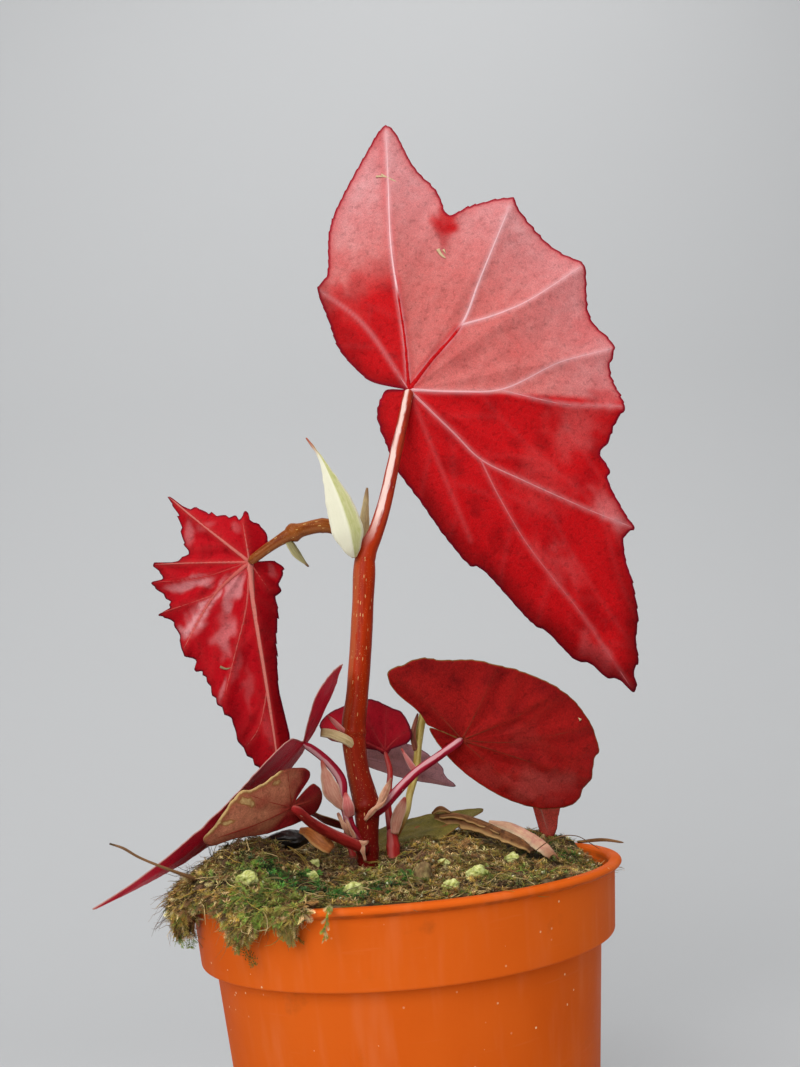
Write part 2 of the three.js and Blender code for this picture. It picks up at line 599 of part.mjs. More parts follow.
function mossBody() {
  const around = 44;
  const shares = [0.16, 0.32, 0.47, 0.61, 0.74, 0.85, 0.94, 1];
  const random = randomStream(7);
  const tuft = shares.map(() => Array.from({ length: around }, () => (random() - 0.4) * 2 * tuftHeight));
  const ringsAt = (height) => shares.map((share, ring) => tuft[ring].map((rise, i) => {
    const turn = (i / around) * 2 * Math.PI;
    const x = share * mossEdgeRadius * Math.cos(turn);
    const y = share * mossEdgeRadius * Math.sin(turn);
    return new THREE.Vector3(x, y, height(x, y, rise));
  }));
  const top = ringsAt((x, y, rise) => mossHeight(x, y) + rise);
  const floor = ringsAt(mossFloor);
  return fanBody(new THREE.Vector3(0, 0, mossHeight(0, 0)), top, new THREE.Vector3(0, 0, mossFloor(0, 0)), floor);
}

// Where the moss hangs over the rim: the height of its lower edge at each angle, in degrees.
const overhangEdge = [
  [184, 68.8], [196, 67.2], [207, 64.6], [214, 66.8], [224, 64.3], [231, 64.6], [237, 67.8],
  [243, 65.4], [249, 68.8],
];
const overhangReach = 3.6;       // how far the moss stands out past the lip
const overhangShell = 2.8;

function overhangBody() {
  const from = overhangEdge[0][0];
  const to = overhangEdge[overhangEdge.length - 1][0];
  const steps = 20;
  const random = randomStream(23);
  const rows = { outer: [], inner: [] };
  for (let step = 0; step <= steps; step += 1) {
    const degrees = from + ((to - from) * step) / steps;
    const turn = THREE.MathUtils.degToRad(degrees);
    const spot = (radius, z) => new THREE.Vector3(radius * Math.cos(turn), radius * Math.sin(turn), z);
    const low = readOff(overhangEdge, degrees);
    const fade = Math.sin(Math.PI * (step / steps)) ** 0.5;
    const far = lipRadius + 1.4 + overhangReach * fade * (0.8 + 0.4 * random());
    const overLip = potHeight + 1.2 + 0.8 * fade;
    const moss = (radius) => mossHeight(radius * Math.cos(turn), radius * Math.sin(turn));
    const crest = (radius) => Math.max(overLip, moss(radius) - 0.4);
    const shoulder = crest(far - 0.8) - 1;
    rows.outer.push([
      spot(lipRadius - 6, moss(lipRadius - 6) - 0.4), spot(lipRadius - 2.6, crest(lipRadius - 2.6)),
      spot(lipRadius + 0.4, crest(lipRadius + 0.4) + 0.5 * random()), spot(far - 0.8, shoulder),
      spot(far, (shoulder + low) / 2), spot(far - 1, low),
    ]);
    rows.inner.push([
      spot(lipRadius - 6, moss(lipRadius - 6) - overhangShell), spot(lipRadius - 2.8, potHeight - 0.8),
      spot(lipRadius - 0.6, potHeight - 0.6), spot(lipRadius - 0.6, potHeight - 1.4),
      spot(lipRadius - 0.6, (potHeight + low) / 2 - 1), spot(lipRadius - 0.6, low - 0.2),
    ]);
  }
  // each row becomes a closed ring: out along the outer skin and back along the inner one
  const rings = rows.outer.map((row, i) => [...row, ...rows.inner[i].slice().reverse()]);
  const middle = (ring) => ring.reduce((sum, p) => sum.add(p), new THREE.Vector3()).divideScalar(ring.length);
  return loftBody(rings, middle(rings[0]), middle(rings[rings.length - 1]));
}

// ---------------------------------------------------------------- pot and soil
function innerRadius(z) {
  const slope = (bodyTopRadius - baseRadius) / (potHeight - bandHeight);
  return baseRadius + slope * z - wall;
}

// The pot wall's closed section. grow thickens it into the clearance body.
function potBody(grow = 0) {
  const bandBottom = potHeight - bandHeight;
  const lipBottom = potHeight - lipHeight;
  const g = grow;
  const profile = [
    [0, -g], [baseRadius + g, -g], [bodyTopRadius + g, bandBottom - g], [bandBottomRadius + g, bandBottom - g],
    [bandTopRadius + g, lipBottom - 0.35 - g], [lipRadius - 0.4 + g, lipBottom - g],
    [lipRadius + g, lipBottom + 0.35], [lipRadius - 0.1 + g, potHeight - 0.25],
    [lipRadius - 0.7, potHeight + g], [bandTopRadius - wall + 0.4, potHeight + g],
    [bandTopRadius - wall - g, potHeight - 0.4], [bandBottomRadius - wall - g, bandBottom + wall],
    [innerRadius(bandBottom) - g, bandBottom + wall + g], [innerRadius(0) - g, floorThickness + g],
    [0, floorThickness + g],
  ];
  return solid(new THREE.LatheGeometry(profile.map(([r, z]) => new THREE.Vector2(r, z)), potSides)
    .rotateX(Math.PI / 2));
}

function drainHole(index) {
  const turn = (index / drainHoles) * 2 * Math.PI;
  const hole = new THREE.CylinderGeometry(drainHoleRadius, drainHoleRadius, 10, 12).rotateX(Math.PI / 2);
  hole.translate(drainHoleCircle * Math.cos(turn), drainHoleCircle * Math.sin(turn), 0);
  return solid(hole);
}

function soilBody() {
  const around = 28;
  const bandBottom = potHeight - bandHeight;
  const ledge = bandBottom + wall + gap;
  const soilTop = (x, y) => mossFloor(x, y) - gap;
  const ring = (radius, height) => Array.from({ length: around }, (_, i) => {
    const turn = (i / around) * 2 * Math.PI;
    const [x, y] = [radius * Math.cos(turn), radius * Math.sin(turn)];
    return new THREE.Vector3(x, y, typeof height === 'number' ? height : height(x, y));
  });
  const topRings = [ring(12, soilTop), ring(22, soilTop), ring(30, soilTop), ring(mossEdgeRadius - 1, soilTop)];
  const bottomRings = [
    ring(innerRadius(0) - gap * 1.5, soilFloor),
    ring(innerRadius(bandBottom) - gap * 1.5, ledge),
    ring(bandBottomRadius - wall - gap * 1.5, ledge + 0.8),
    ring(mossEdgeRadius - 0.8, ledge + 4),
  ];
  return fanBody(new THREE.Vector3(0, 0, soilTop(0, 0)), topRings, new THREE.Vector3(0, 0, soilFloor), bottomRings);
}

// ---------------------------------------------------------------- lumps on the moss
function lumpBody([x, y, z], [width, depth, height], seed, detail, grow = 0) {
  const random = randomStream(seed);
  const geometry = new THREE.IcosahedronGeometry(1, detail);
  geometry.deleteAttribute('normal');
  geometry.deleteAttribute('uv');
  const lump = mergeVertices(geometry, 1e-4);
  const spots = lump.attributes.position;
  for (let i = 0; i < spots.count; i += 1) {
    const swell = 0.82 + 0.36 * random();
    const reach = (size) => (size / 2) * swell + grow;
    spots.setXYZ(i, x + spots.getX(i) * reach(width), y + spots.getY(i) * reach(depth), z + spots.getZ(i) * reach(height));
  }
  return solid(lump);
}

// place on the moss (x, y) and width; each grain sits a third of its height in the moss
const perliteGrains = [
  [12.1, -18.6, 3.6], [-24.4, -29.1, 3.2], [-15.3, -19.6, 2.2], [-8, -24.9, 3.4],
  [7.1, -7.2, 2.4], [7, -27.1, 2.8], [-15.8, -9.6, 2], [3.6, -9.9, 2.2], [20, -4.4, 2.8],
];

// ---------------------------------------------------------------- putting it together
const plant = new THREE.Group();
const placed = [];

function meshOf(name, body, look) {
  const { vertProperties, triVerts } = body.getMesh();
  const geometry = new THREE.BufferGeometry();
  geometry.setAttribute('position', new THREE.Float32BufferAttribute(vertProperties, 3));
  geometry.setIndex(Array.from(triVerts));
  geometry.computeVertexNormals();
  const mesh = new THREE.Mesh(geometry, new THREE.MeshStandardMaterial({ metalness: 0, side: THREE.DoubleSide, ...look }));
  mesh.name = name;
  return mesh;
}

function boxesMeet(first, second) {
  const [a, b] = [first.boundingBox(), second.boundingBox()];
  return [0, 1, 2].every((axis) => a.min[axis] <= b.max[axis] && b.min[axis] <= a.max[axis]);
}

// Adds a piece after cutting it clear of every piece already there.
function place(name, body, clearance, look) {
  let cut = body;
  placed.forEach((other) => {
    if (boxesMeet(cut, other)) cut = cut.subtract(other);
  });
  plant.add(meshOf(name, largest(cut), look));
  placed.push(clearance);
}

let pot = potBody();
for (let hole = 0; hole < drainHoles; hole += 1) pot = pot.subtract(drainHole(hole));
place('pot', pot, potBody(gap), finish.pot);

// the main stem is one piece with its buried base and thick roots
function rootPath(index) {
  const turn = THREE.MathUtils.degToRad(rootTurns[index]);
  const [x, y, z] = mainStem[0];
  const along = (reach, drop, radius) => [x + reach * Math.cos(turn), y + reach * Math.sin(turn), z - drop, radius];
  return [along(0, -2.5, 1), along(4, 1, 0.9), along(8.5, 5, 0.7), along(11, 11 + index, 0.5)];
}

let stem = stemBody(mainStem, stemSides);
let stemClearance = stemBody(mainStem, stemSides, gap);
for (let root = 0; root < rootTurns.length; root += 1) {
  stem = stem.add(stemBody(rootPath(root), rootSides));
  stemClearance = stemClearance.add(stemBody(rootPath(root), rootSides, gap));
}
place('main_stem', stem, stemClearance, finish.stem);
place('side_shoot', stemBody(sideShoot, 8), stemBody(sideShoot, 8, gap), finish.stem);

const leaves = [
  ['top_leaf', topLeaf, finish.leaf, topPetiole, finish.petiole],
  ['left_leaf', leftLeaf, finish.leaf, leftPetiole, finish.stem],
  ['right_leaf', rightLeaf, finish.darkLeaf, rightPetiole, finish.petiole],
  ['edge_on_leaf', edgeOnLeaf, finish.leaf, edgeOnPetiole, finish.petiole],
  ['dried_edge_leaf', driedEdgeLeaf, finish.darkLeaf, driedEdgePetiole, finish.petiole],
  ['small_back_leaf', smallBackLeaf, finish.leaf, smallBackPetiole, finish.petiole],
  ['behind_leaf', behindLeaf, finish.darkLeaf, yellowPetiole, finish.oldPetiole],
  ['grey_back_leaf', greyBackLeaf, finish.greyLeaf, greyBackPetiole, finish.petiole],
  ['old_leaf', oldLeaf, finish.oliveLeaf, oldPetiole, finish.oldPetiole],
  ['low_leaf', lowLeaf, finish.darkLeaf, lowPetiole, finish.petiole],
];
const petioleSides = 8;
place('left_branch', stemBody(leftBranch, petioleSides), stemBody(leftBranch, petioleSides, gap), finish.stem);
leaves.forEach(([name, leaf, look]) => {
  place(`${name}_blade`, leafBody(leaf), leafBody(leaf, gap), look);
});
leaves.forEach(([name, , , path, look]) => {
  place(`${name}_petiole`, stemBody(path, petioleSides), stemBody(path, petioleSides, gap), look);
});

Object.entries(slips).forEach(([name, { path, facing, thickness, look }]) => {
  place(name, slipBody(path, facing, thickness), slipBody(path, facing, thickness, gap), look);
});
Object.entries(twigs).forEach(([name, path]) => {
  place(name, stemBody(path, 6), stemBody(path, 6, gap), finish.dry);
});

function placeLump(name, centre, size, seed, detail, look) {
  place(name, lumpBody(centre, size, seed, detail), lumpBody(centre, size, seed, detail, gap), look);
}

placeLump('bark_chunk', [-20.8, -6, 77.4], [8.6, 4.5, 3.4], 11, 1, finish.bark);
placeLump('brown_chunk', [3.1, -20.6, 71.2], [2.8, 2.6, 4.2], 17, 0, finish.dry);
perliteGrains.forEach(([x, y, width], index) => {
  const centre = [x, y, mossHeight(x, y) + width * 0.12];
  placeLump(`perlite_${index + 1}`, centre, [width, width * 0.9, width * 0.75], 31 + index, 0, finish.perlite);
});

const moss = mossBody().add(overhangBody());
place('moss', moss, moss, finish.moss);
place('soil', soilBody(), soilBody(), finish.soil);

export default plant;
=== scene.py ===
import math
import re

import bpy
import numpy as np
from mathutils import Matrix, Vector, noise


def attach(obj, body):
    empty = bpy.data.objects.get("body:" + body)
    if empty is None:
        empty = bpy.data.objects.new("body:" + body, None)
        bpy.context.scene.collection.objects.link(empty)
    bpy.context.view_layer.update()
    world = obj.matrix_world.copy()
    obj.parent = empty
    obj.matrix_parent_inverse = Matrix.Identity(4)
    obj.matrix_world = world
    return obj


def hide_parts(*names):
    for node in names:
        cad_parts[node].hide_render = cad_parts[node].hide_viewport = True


# Potted begonia with red leaf undersides, in a mossy nursery pot.
# Lists of places are in millimetres, in the frame of the CAD model: +Z up, camera on the -Y side.
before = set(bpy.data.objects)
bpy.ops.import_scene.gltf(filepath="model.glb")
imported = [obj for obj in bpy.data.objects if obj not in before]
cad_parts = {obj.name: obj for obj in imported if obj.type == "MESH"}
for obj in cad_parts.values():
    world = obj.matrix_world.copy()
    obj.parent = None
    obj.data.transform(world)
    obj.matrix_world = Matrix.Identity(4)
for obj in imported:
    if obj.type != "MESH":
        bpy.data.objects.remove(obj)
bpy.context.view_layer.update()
bpy.ops.object.select_all(action="DESELECT")
mm = 0.001
fullTurn = 2 * math.pi


def smooth(value):
    value = np.clip(value, 0, 1)
    return value * value * (3 - 2 * value)


def unit(vector):
    vector = np.asarray(vector, float)
    return vector / np.linalg.norm(vector, axis=-1, keepdims=True)


# how far along a line each of its points is
def travelOf(line):
    return np.concatenate([[0], np.cumsum(np.linalg.norm(np.diff(line, axis=0), axis=1))])


# a centripetal curve through rows of numbers, with points about one step apart
def curveThrough(rows, step, closed=False):
    rows = np.array(rows, float)
    if closed:
        ends, size = np.vstack([rows[-1:], rows, rows[:2]]), 2
    else:
        ends, size = np.vstack([2 * rows[:1] - rows[1:2], rows, 2 * rows[-1:] - rows[-2:-1]]), 3
    line = []
    for before, start, end, after in zip(ends, ends[1:], ends[2:], ends[3:]):
        pairs = (before, start), (start, end), (end, after)
        first, middle, last = (max(1e-4, np.linalg.norm((b - a)[:size])) ** 0.5 for a, b in pairs)
        slopeIn = (start - before) / first - (end - before) / (first + middle) + (end - start) / middle
        slopeOut = (end - start) / middle - (after - start) / (middle + last) + (after - end) / last
        count = max(2, round(np.linalg.norm((end - start)[:size]) / step))
        t = (np.arange(count) / count)[:, None]
        line.append(start * (2 * t**3 - 3 * t**2 + 1) + slopeIn * middle * (t**3 - 2 * t**2 + t)
                    + end * (3 * t**2 - 2 * t**3) + slopeOut * middle * (t**3 - t**2))
    return np.vstack(line if closed else line + [rows[-1:]])


def wobble(points, size, seed=0.0):
    shift = Vector((seed * 7.3, seed * 3.1, seed * 5.7))
    return np.array([noise.noise(Vector(p) / size + shift) for p in points])


# a CAD node's name from a piece's: topLeaf is top_leaf
def cadName(name):
    return re.sub("([A-Z0-9])", r"_\1", name).lower()


markKinds = {1: ("FLOAT", "value"), 3: ("FLOAT_VECTOR", "vector"), 4: ("FLOAT_COLOR", "color")}


# a mesh object from a sketch: points in millimetres, faces, and per-point marks that the materials read
def addPiece(name, sketch):
    mesh = bpy.data.meshes.new(name)
    mesh.from_pydata((np.asarray(sketch["points"], float) * mm).tolist(), [], sketch["faces"])
    mesh.update()
    for mark, values in sketch["marks"].items():
        values = np.asarray(values, np.float32)
        kind, field = markKinds[values.size // len(values)]
        mesh.attributes.new(mark, kind, "POINT").data.foreach_set(field, values.ravel())
    piece = bpy.data.objects.new(name, mesh)
    bpy.context.collection.objects.link(piece)
    return piece


# gives a finished piece its material and its body, and hides the CAD nodes it stands for; slot is not used
def settle(piece, nodes, slot, material):
    piece.data.materials.append(material)
    piece.data.shade_smooth()
    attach(piece, "root")
    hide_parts(*nodes)


def joined(sketches):
    start, faces = 0, []
    for sketch in sketches:
        faces += [tuple(corner + start for corner in face) for face in sketch["faces"]]
        start += len(sketch["points"])
    marks = {mark: np.concatenate([s["marks"][mark] for s in sketches]) for mark in sketches[0]["marks"]}
    return {"points": np.vstack([s["points"] for s in sketches]), "faces": faces, "marks": marks}


# quads between closed loops of points, capped at both ends
def loopFaces(rows, count, turned=False):
    low = (np.arange(rows - 1)[:, None] * count + np.arange(count)).ravel()
    right = (np.arange(rows - 1)[:, None] * count + (np.arange(count) + 1) % count).ravel()
    quads = [low, right, right + count, low + count] if turned else [low, low + count, right + count, right]
    caps = tuple(range(count)), tuple(range((rows - 1) * count, rows * count))
    caps = [caps[0][::-1], caps[1]] if turned else [caps[0], caps[1][::-1]]
    return [tuple(face) for face in np.column_stack(quads).tolist()] + caps


# rings along a line of centres; section(share, size) gives the [side, out] offsets of one ring
def loft(line, facing, section):
    centres = line[:, :3]
    tangents = unit(np.gradient(centres, axis=0))
    across = unit(np.cross(tangents, facing))
    out = np.cross(across, tangents)
    travel = travelOf(centres)
    shares = travel / travel[-1]
    offsets = np.array([section(share, size) for share, size in zip(shares, line[:, 3])])
    rows, count = offsets.shape[:2]
    rings = centres[:, None] + offsets[:, :, :1] * across[:, None] + offsets[:, :, 1:] * out[:, None]
    places = np.column_stack([offsets.reshape(-1, 2), np.repeat(travel, count)])
    marks = {"place": places, "share": np.repeat(shares, count)}
    return {"points": rings.reshape(-1, 3), "faces": loopFaces(rows, count, turned=True), "marks": marks}


# the material in work and the node tree that new nodes go into
bench = {}


def colour(text):
    parts = [int(text[i:i + 2], 16) / 255 for i in (1, 3, 5)]
    return tuple(c / 12.92 if c <= 0.04045 else ((c + 0.055) / 1.055) ** 2.4 for c in parts) + (1,)


# adds a node, sets its properties, and fills its inputs: a socket is linked, "#rrggbb" is a colour
def put(kind, inputs={}, **settings):
    new = bench["tree"].nodes.new(kind if kind.startswith("Node") else "ShaderNode" + kind)
    for key, value in settings.items():
        setattr(new, key, value)
    for key, value in inputs.items():
        if isinstance(value, bpy.types.NodeSocket):
            bench["tree"].links.new(value, new.inputs[key])
        else:
            new.inputs[key].default_value = colour(value) if isinstance(value, str) else value
    return new.outputs


def mixed(factor, first, second):
    return put("Mix", {0: factor, 6: first, 7: second}, data_type="RGBA")[2]


def maths(operation, first, second=0.0):
    return put("Math", {0: first, 1: second}, operation=operation)[0]


def times(first, second):
    return maths("MULTIPLY", first, second)


def plus(first, second):
    return maths("ADD", first, second)


def vectorMaths(operation, first, second=(0, 0, 0), output="Vector"):
    return put("VectorMath", {0: first, 1: second}, operation=operation)[output]


def spread(value, low, high, toLow=0.0, toHigh=1.0):
    inputs = {"Value": value, "From Min": low, "From Max": high, "To Min": toLow, "To Max": toHigh}
    return put("MapRange", inputs, interpolation_type="SMOOTHSTEP")[0]


def noiseAt(vector, scale, detail=3.0, roughness=0.55):
    return put("TexNoise", {"Vector": vector, "Scale": scale, "Detail": detail, "Roughness": roughness})["Fac"]


def stretched(vector, scale):
    return put("Mapping", {"Vector": vector, "Scale": scale})[0]


def bumpFrom(height, strength, distance):
    return put("Bump", {"Strength": strength, "Distance": distance, "Height": height})["Normal"]


def brighter(shade, value):
    return put("HueSaturation", {"Color": shade, "Value": value})[0]


def heightOf(place):
    return put("SeparateXYZ", {"Vector": place})["Z"]


def objectPlace():
    return put("TexCoord")["Object"]


# starts a shader group with named inputs and their usual values
def startGroup(name, inputs):
    bench["tree"] = group = bpy.data.node_groups.new(name, "ShaderNodeTree")
    for label, value in inputs.items():
        kind = "Color" if isinstance(value, str) else "Vector" if isinstance(value, tuple) else "Float"
        socket = group.interface.new_socket(label, in_out="INPUT", socket_type="NodeSocket" + kind)
        socket.default_value = colour(value) if isinstance(value, str) else value
    return put("NodeGroupInput")


def finishGroup(outputs):
    for label, source in outputs.items():
        kind = {"RGBA": "Color", "VECTOR": "Vector", "VALUE": "Float"}[source.type]
        bench["tree"].interface.new_socket(label, in_out="OUTPUT", socket_type="NodeSocket" + kind)
    put("NodeGroupOutput", outputs)
    return bench["tree"]


def startMaterial(name):
    material = bpy.data.materials.new(name)
    material.use_nodes = True
    bench.update(material=material, tree=material.node_tree)
    material.node_tree.nodes.clear()


def finishMaterial(inputs):
    put("OutputMaterial", {"Surface": put("BsdfPrincipled", inputs)[0]})
    return bench["material"]


# a material from one skin group: marks are read from the mesh, looks and shine are its own values
def skinMaterial(name, group, marks, looks, shine):
    startMaterial(name)
    given = {label: put("Attribute", attribute_name=label)["Fac"] for label in marks}
    given["place"] = put("Attribute", attribute_name="place")["Vector"]
    skin = put("Group", {**given, **looks}, node_tree=group)
    return finishMaterial({**{socket.name: socket for socket in skin}, **shine})


# scattered small dots: dust on the pot, pores on the stems, grit in the soil
def makeSpecks():
    given = startGroup("specks", {"Vector": (0, 0, 0), "Scale": 1.0, "Size": 0.15, "Share": 0.3})
    cells = put("TexVoronoi", {"Vector": given["Vector"], "Scale": given["Scale"]})
    near = maths("LESS_THAN", cells["Distance"], given["Size"])
    chosen = maths("LESS_THAN", put("SeparateColor", {"Color": cells["Color"]})[0], given["Share"])
    return finishGroup({"Mask": times(near, chosen)})


speckGroup = makeSpecks()


def specks(vector, scale, size, share):
    return put("Group", {"Vector": vector, "Scale": scale, "Size": size, "Share": share}, node_tree=speckGroup)["Mask"]


print("begonia: camera, light and floor")
view = {
    "place": (0, -168.9, 90.9), "right": (0.9965, -0.006, -0.0832), "up": (0.0789, -0.2536, 0.9641),
    "focalPixels": 840, "longSidePixels": 1067, "sensor": 36, "nearest": 0.005,
}
lights = {  # place, aim and size in metres, then power
    "softKey": ((-0.35, -0.95, 0.62), (0.02, 0, 0.15), (0.9, 0.7), 10.5),
    "skyFill": ((0.15, -0.25, 1.15), (0, 0, 0.12), (1.2, 1.2), 5.5),
    "wallLight": ((0.0, 0.1, 1.25), (0, 0.6, 0.35), (1.4, 0.5), 1.0),
}
stage = {
    "wallAt": 0.62, "front": -1.4, "bend": 0.45, "steps": 24, "halfWidth": 1.6, "height": 1.5,
    "paper": "#c7c8c9", "roughness": 0.9, "air": "#e3e4e5", "airStrength": 0.34,
}


def addCamera():
    data = bpy.data.cameras.new("viewCamera")
    data.sensor_width = view["sensor"]
    data.lens = view["sensor"] * view["focalPixels"] / view["longSidePixels"]
    data.clip_start = view["nearest"]
    camera = bpy.data.objects.new("viewCamera", data)
    right, up = unit(view["right"]), unit(view["up"])
    turn = Matrix([right, up, np.cross(right, up)]).transposed().to_4x4()
    camera.matrix_world = Matrix.Translation(Vector(view["place"]) * mm) @ turn
    bpy.context.collection.objects.link(camera)
    bpy.context.scene.camera = camera


def addLight(name, place, aim, size, power):
    data = bpy.data.lights.new(name, "AREA")
    data.shape = "RECTANGLE"
    data.size, data.size_y = size
    data.energy = power
    light = bpy.data.objects.new(name, data)
    light.location = place
    light.rotation_euler = (Vector(aim) - Vector(place)).to_track_quat("-Z", "Y").to_euler()
    bpy.context.collection.objects.link(light)


# a pale floor that curves up into a pale wall
def addStage():
    wall, bend, half = stage["wallAt"], stage["bend"], stage["halfWidth"]
    turns = [math.pi / 2 * i / stage["steps"] for i in range(1, stage["steps"] + 1)]
    profile = [(stage["front"], 0.0), (wall - bend, 0.0)]
    profile += [(wall - bend + bend * math.sin(turn), bend * (1 - math.cos(turn))) for turn in turns]
    profile.append((wall, stage["height"]))
    points = [(x / mm, y / mm, z / mm) for y, z in profile for x in (-half, half)]
    faces = [(2 * i, 2 * i + 1, 2 * i + 3, 2 * i + 2) for i in range(len(profile) - 1)]
    backdrop = addPiece("paleBackdrop", {"points": points, "faces": faces, "marks": {}})
    backdrop.data.shade_smooth()
    startMaterial("palePaper")
    backdrop.data.materials.append(finishMaterial({"Base Color": stage["paper"], "Roughness": stage["roughness"]}))


addCamera()
addStage()
for name, (place, aim, size, power) in lights.items():
    addLight(name, place, aim, size, power)
world = bpy.data.worlds.new("studioAir")
world.use_nodes = True
air = world.node_tree.nodes["Background"].inputs
air["Color"].default_value, air["Strength"].default_value = colour(stage["air"]), stage["airStrength"]
bpy.context.scene.world = world
bpy.context.scene.view_settings.view_transform = "Standard"

print("begonia: pot")
pot = {
    "height": 70, "lip": 40, "lipHeight": 1.15, "bandTop": 38.67, "bandHeight": 11.7, "bandBottom": 37.3,
    "bodyTop": 34.9, "base": 26, "wall": 1.0, "floor": 1.3, "sides": 180, "rounding": 0.18,
    "holes": 6, "holeRadius": 2.5, "holeCircle": 19.5,
    "orange": "#da611b", "deepOrange": "#cb520e", "rubbed": "#f0b890", "dust": "#f2d9a6", "grimeAndLipShadow": "#6d3a1c",
}


# a disc is extruded ring by ring up the outside, over the lip and down the inside
def modelPot():
    base, wall, lip, top, body = (pot[key] for key in ("base", "wall", "lip", "height", "bodyTop"))
    bandTop, bandBottom = pot["bandTop"], pot["bandBottom"]
    bandFoot, lipFoot = top - pot["bandHeight"], top - pot["lipHeight"]
    slope = (body - base) / bandFoot
    rings = [
        (base + 0.25, 0.25), (body, bandFoot), (bandBottom - 0.25, bandFoot), (bandBottom, bandFoot + 0.25),
        (bandTop, lipFoot - 0.35), (lip - 0.4, lipFoot), (lip, lipFoot + 0.4), (lip - 0.08, top - 0.3),
        (lip - 0.45, top), (bandTop - wall + 0.5, top), (bandTop - wall, top - 0.5),
        (bandBottom - wall, bandFoot + wall), (body - wall, bandFoot + wall - 0.1),
        (base + slope * pot["floor"] - wall, pot["floor"]),
    ]
    bpy.ops.mesh.primitive_circle_add(vertices=pot["sides"], radius=base * mm, fill_type="NGON")
    shell = bpy.context.object
    shell.name = "nurseryPot"
    bpy.ops.object.mode_set(mode="EDIT")
    bpy.ops.mesh.select_all(action="SELECT")
    radius, z = base, 0
    for nextRadius, nextZ in rings:
        bpy.ops.mesh.extrude_region_move(TRANSFORM_OT_translate={"value": (0, 0, (nextZ - z) * mm)})
        bpy.ops.transform.resize(value=(nextRadius / radius, nextRadius / radius, 1))
        radius, z = nextRadius, nextZ
    bpy.ops.mesh.select_all(action="SELECT")
    bpy.ops.mesh.normals_make_consistent(inside=False)
    bpy.ops.object.mode_set(mode="OBJECT")
    return shell


def selectOnly(pieces):
    bpy.ops.object.select_all(action="DESELECT")
    for piece in pieces:
        piece.select_set(True)
    bpy.context.view_layer.objects.active = pieces[0]


# drain holes are cut by one joined cutter, then every hard edge is rounded
def drillPot(shell):
    cutters = []
    for hole in range(pot["holes"]):
        turn = fullTurn * hole / pot["holes"]
        place = (pot["holeCircle"] * math.cos(turn) * mm, pot["holeCircle"] * math.sin(turn) * mm, 0)
        bpy.ops.mesh.primitive_cylinder_add(vertices=32, radius=pot["holeRadius"] * mm, depth=10 * mm, location=place)
        cutters.append(bpy.context.object)
    selectOnly(cutters)
    bpy.ops.object.join()
    cutter = bpy.context.object
    selectOnly([shell])
    drill = shell.modifiers.new("drainHoles", "BOOLEAN")
    drill.object, drill.solver = cutter, "EXACT"
    bpy.ops.object.modifier_apply(modifier=drill.name)
    bpy.data.objects.remove(cutter)
    rounding = shell.modifiers.new("rounding", "BEVEL")
    rounding.width, rounding.segments, rounding.angle_limit = pot["rounding"] * mm, 3, math.radians(32)
    bpy.ops.object.modifier_apply(modifier=rounding.name)


def potMaterial():
    startMaterial("orangePlastic")
    at = objectPlace()
    ground = mixed(spread(noiseAt(at, 22.0), 0.3, 0.7), pot["orange"], pot["deepOrange"])
    flat, tall = (noiseAt(stretched(at, scale), 1.0) for scale in ((60, 60, 900), (260, 260, 20)))
    rubbed = maths("MAXIMUM", times(spread(flat, 0.6, 0.78), 0.05), times(spread(tall, 0.48, 0.75), 0.06))
    ground = mixed(rubbed, ground, pot["rubbed"])
    dust = maths("MAXIMUM", specks(at, 520.0, 0.085, 0.4), specks(at, 300.0, 0.06, 0.1))
    dust = times(dust, spread(noiseAt(at, 45.0), 0.4, 0.56))
    ground = mixed(times(dust, 0.8), ground, pot["dust"])
    grimeAndLipShadow = times(spread(noiseAt(at, 130.0, detail=6.0), 0.62, 0.8), 0.35)
    # painted shadow: a thin dark line just under the lip, where the lip shades the band, mixed in with the grime
    # colour
    height, lipFoot = heightOf(at), (pot["height"] - pot["lipHeight"]) * mm
    under = times(spread(height, lipFoot - 0.0006, lipFoot - 0.0002),
                  spread(height, lipFoot + 0.0002, lipFoot + 0.0003, 1.0, 0.0))
    under = times(under, spread(noiseAt(at, 300.0, detail=4.0), 0.35, 0.65, 0.1, 0.45))
    ground = mixed(maths("MAXIMUM", grimeAndLipShadow, under), ground, pot["grimeAndLipShadow"])
    return finishMaterial({
        "Base Color": ground, "Roughness": spread(noiseAt(at, 60.0, detail=5.0), 0.3, 0.75, 0.36, 0.55),
        "Normal": bumpFrom(noiseAt(at, 1500.0, 4.0, 0.6), 1.0, 0.00003), "Specular IOR Level": 0.1, "IOR": 1.14,
        "Subsurface Weight": 0.08, "Subsurface Radius": (0.002, 0.0008, 0.0003),
    })


potShell = modelPot()
drillPot(potShell)
settle(potShell, ["pot"], "pot", potMaterial())
selectOnly([potShell])
bpy.ops.object.shade_smooth_by_angle(angle=math.radians(28))
bpy.ops.object.select_all(action="DESELECT")

print("begonia: leaves")
leafSkin = {
    "half": 0.2, "rimHalf": 0.09, "ringStep": 1.15, "rings": (16, 60), "edgeStep": 0.45, "quilt": 0.22,
    "toothGap": (1.6, 3.4), "toothSize": (0.15, 0.55), "ribHeight": 0.32, "ribSides": 7, "branchGap": 13.0,
    "branchLean": (40, 56), "branchBend": (-0.6, 1.6), "branchLength": 60, "shine": 0.15, "index": 1.25,
}
# what a leaf's own dictionary may leave out
leafUsual = {
    "cup": 0, "rightFold": 0, "baseFold": 0, "teeth": 1, "quilt": 1, "veinShow": 0.9, "sideShow": 0.18,
    "haloShow": 0.35, "sideWide": 0.13, "crisp": 1.5, "sheenFadeAtRim": 0.9, "paintedSheenFans": [], "paintedSheenSpots": [],
    "paintedSheenLines": [], "drySpots": [], "paintedShadeSpots": [], "paintedShadeFans": [], "scabs": [],
}
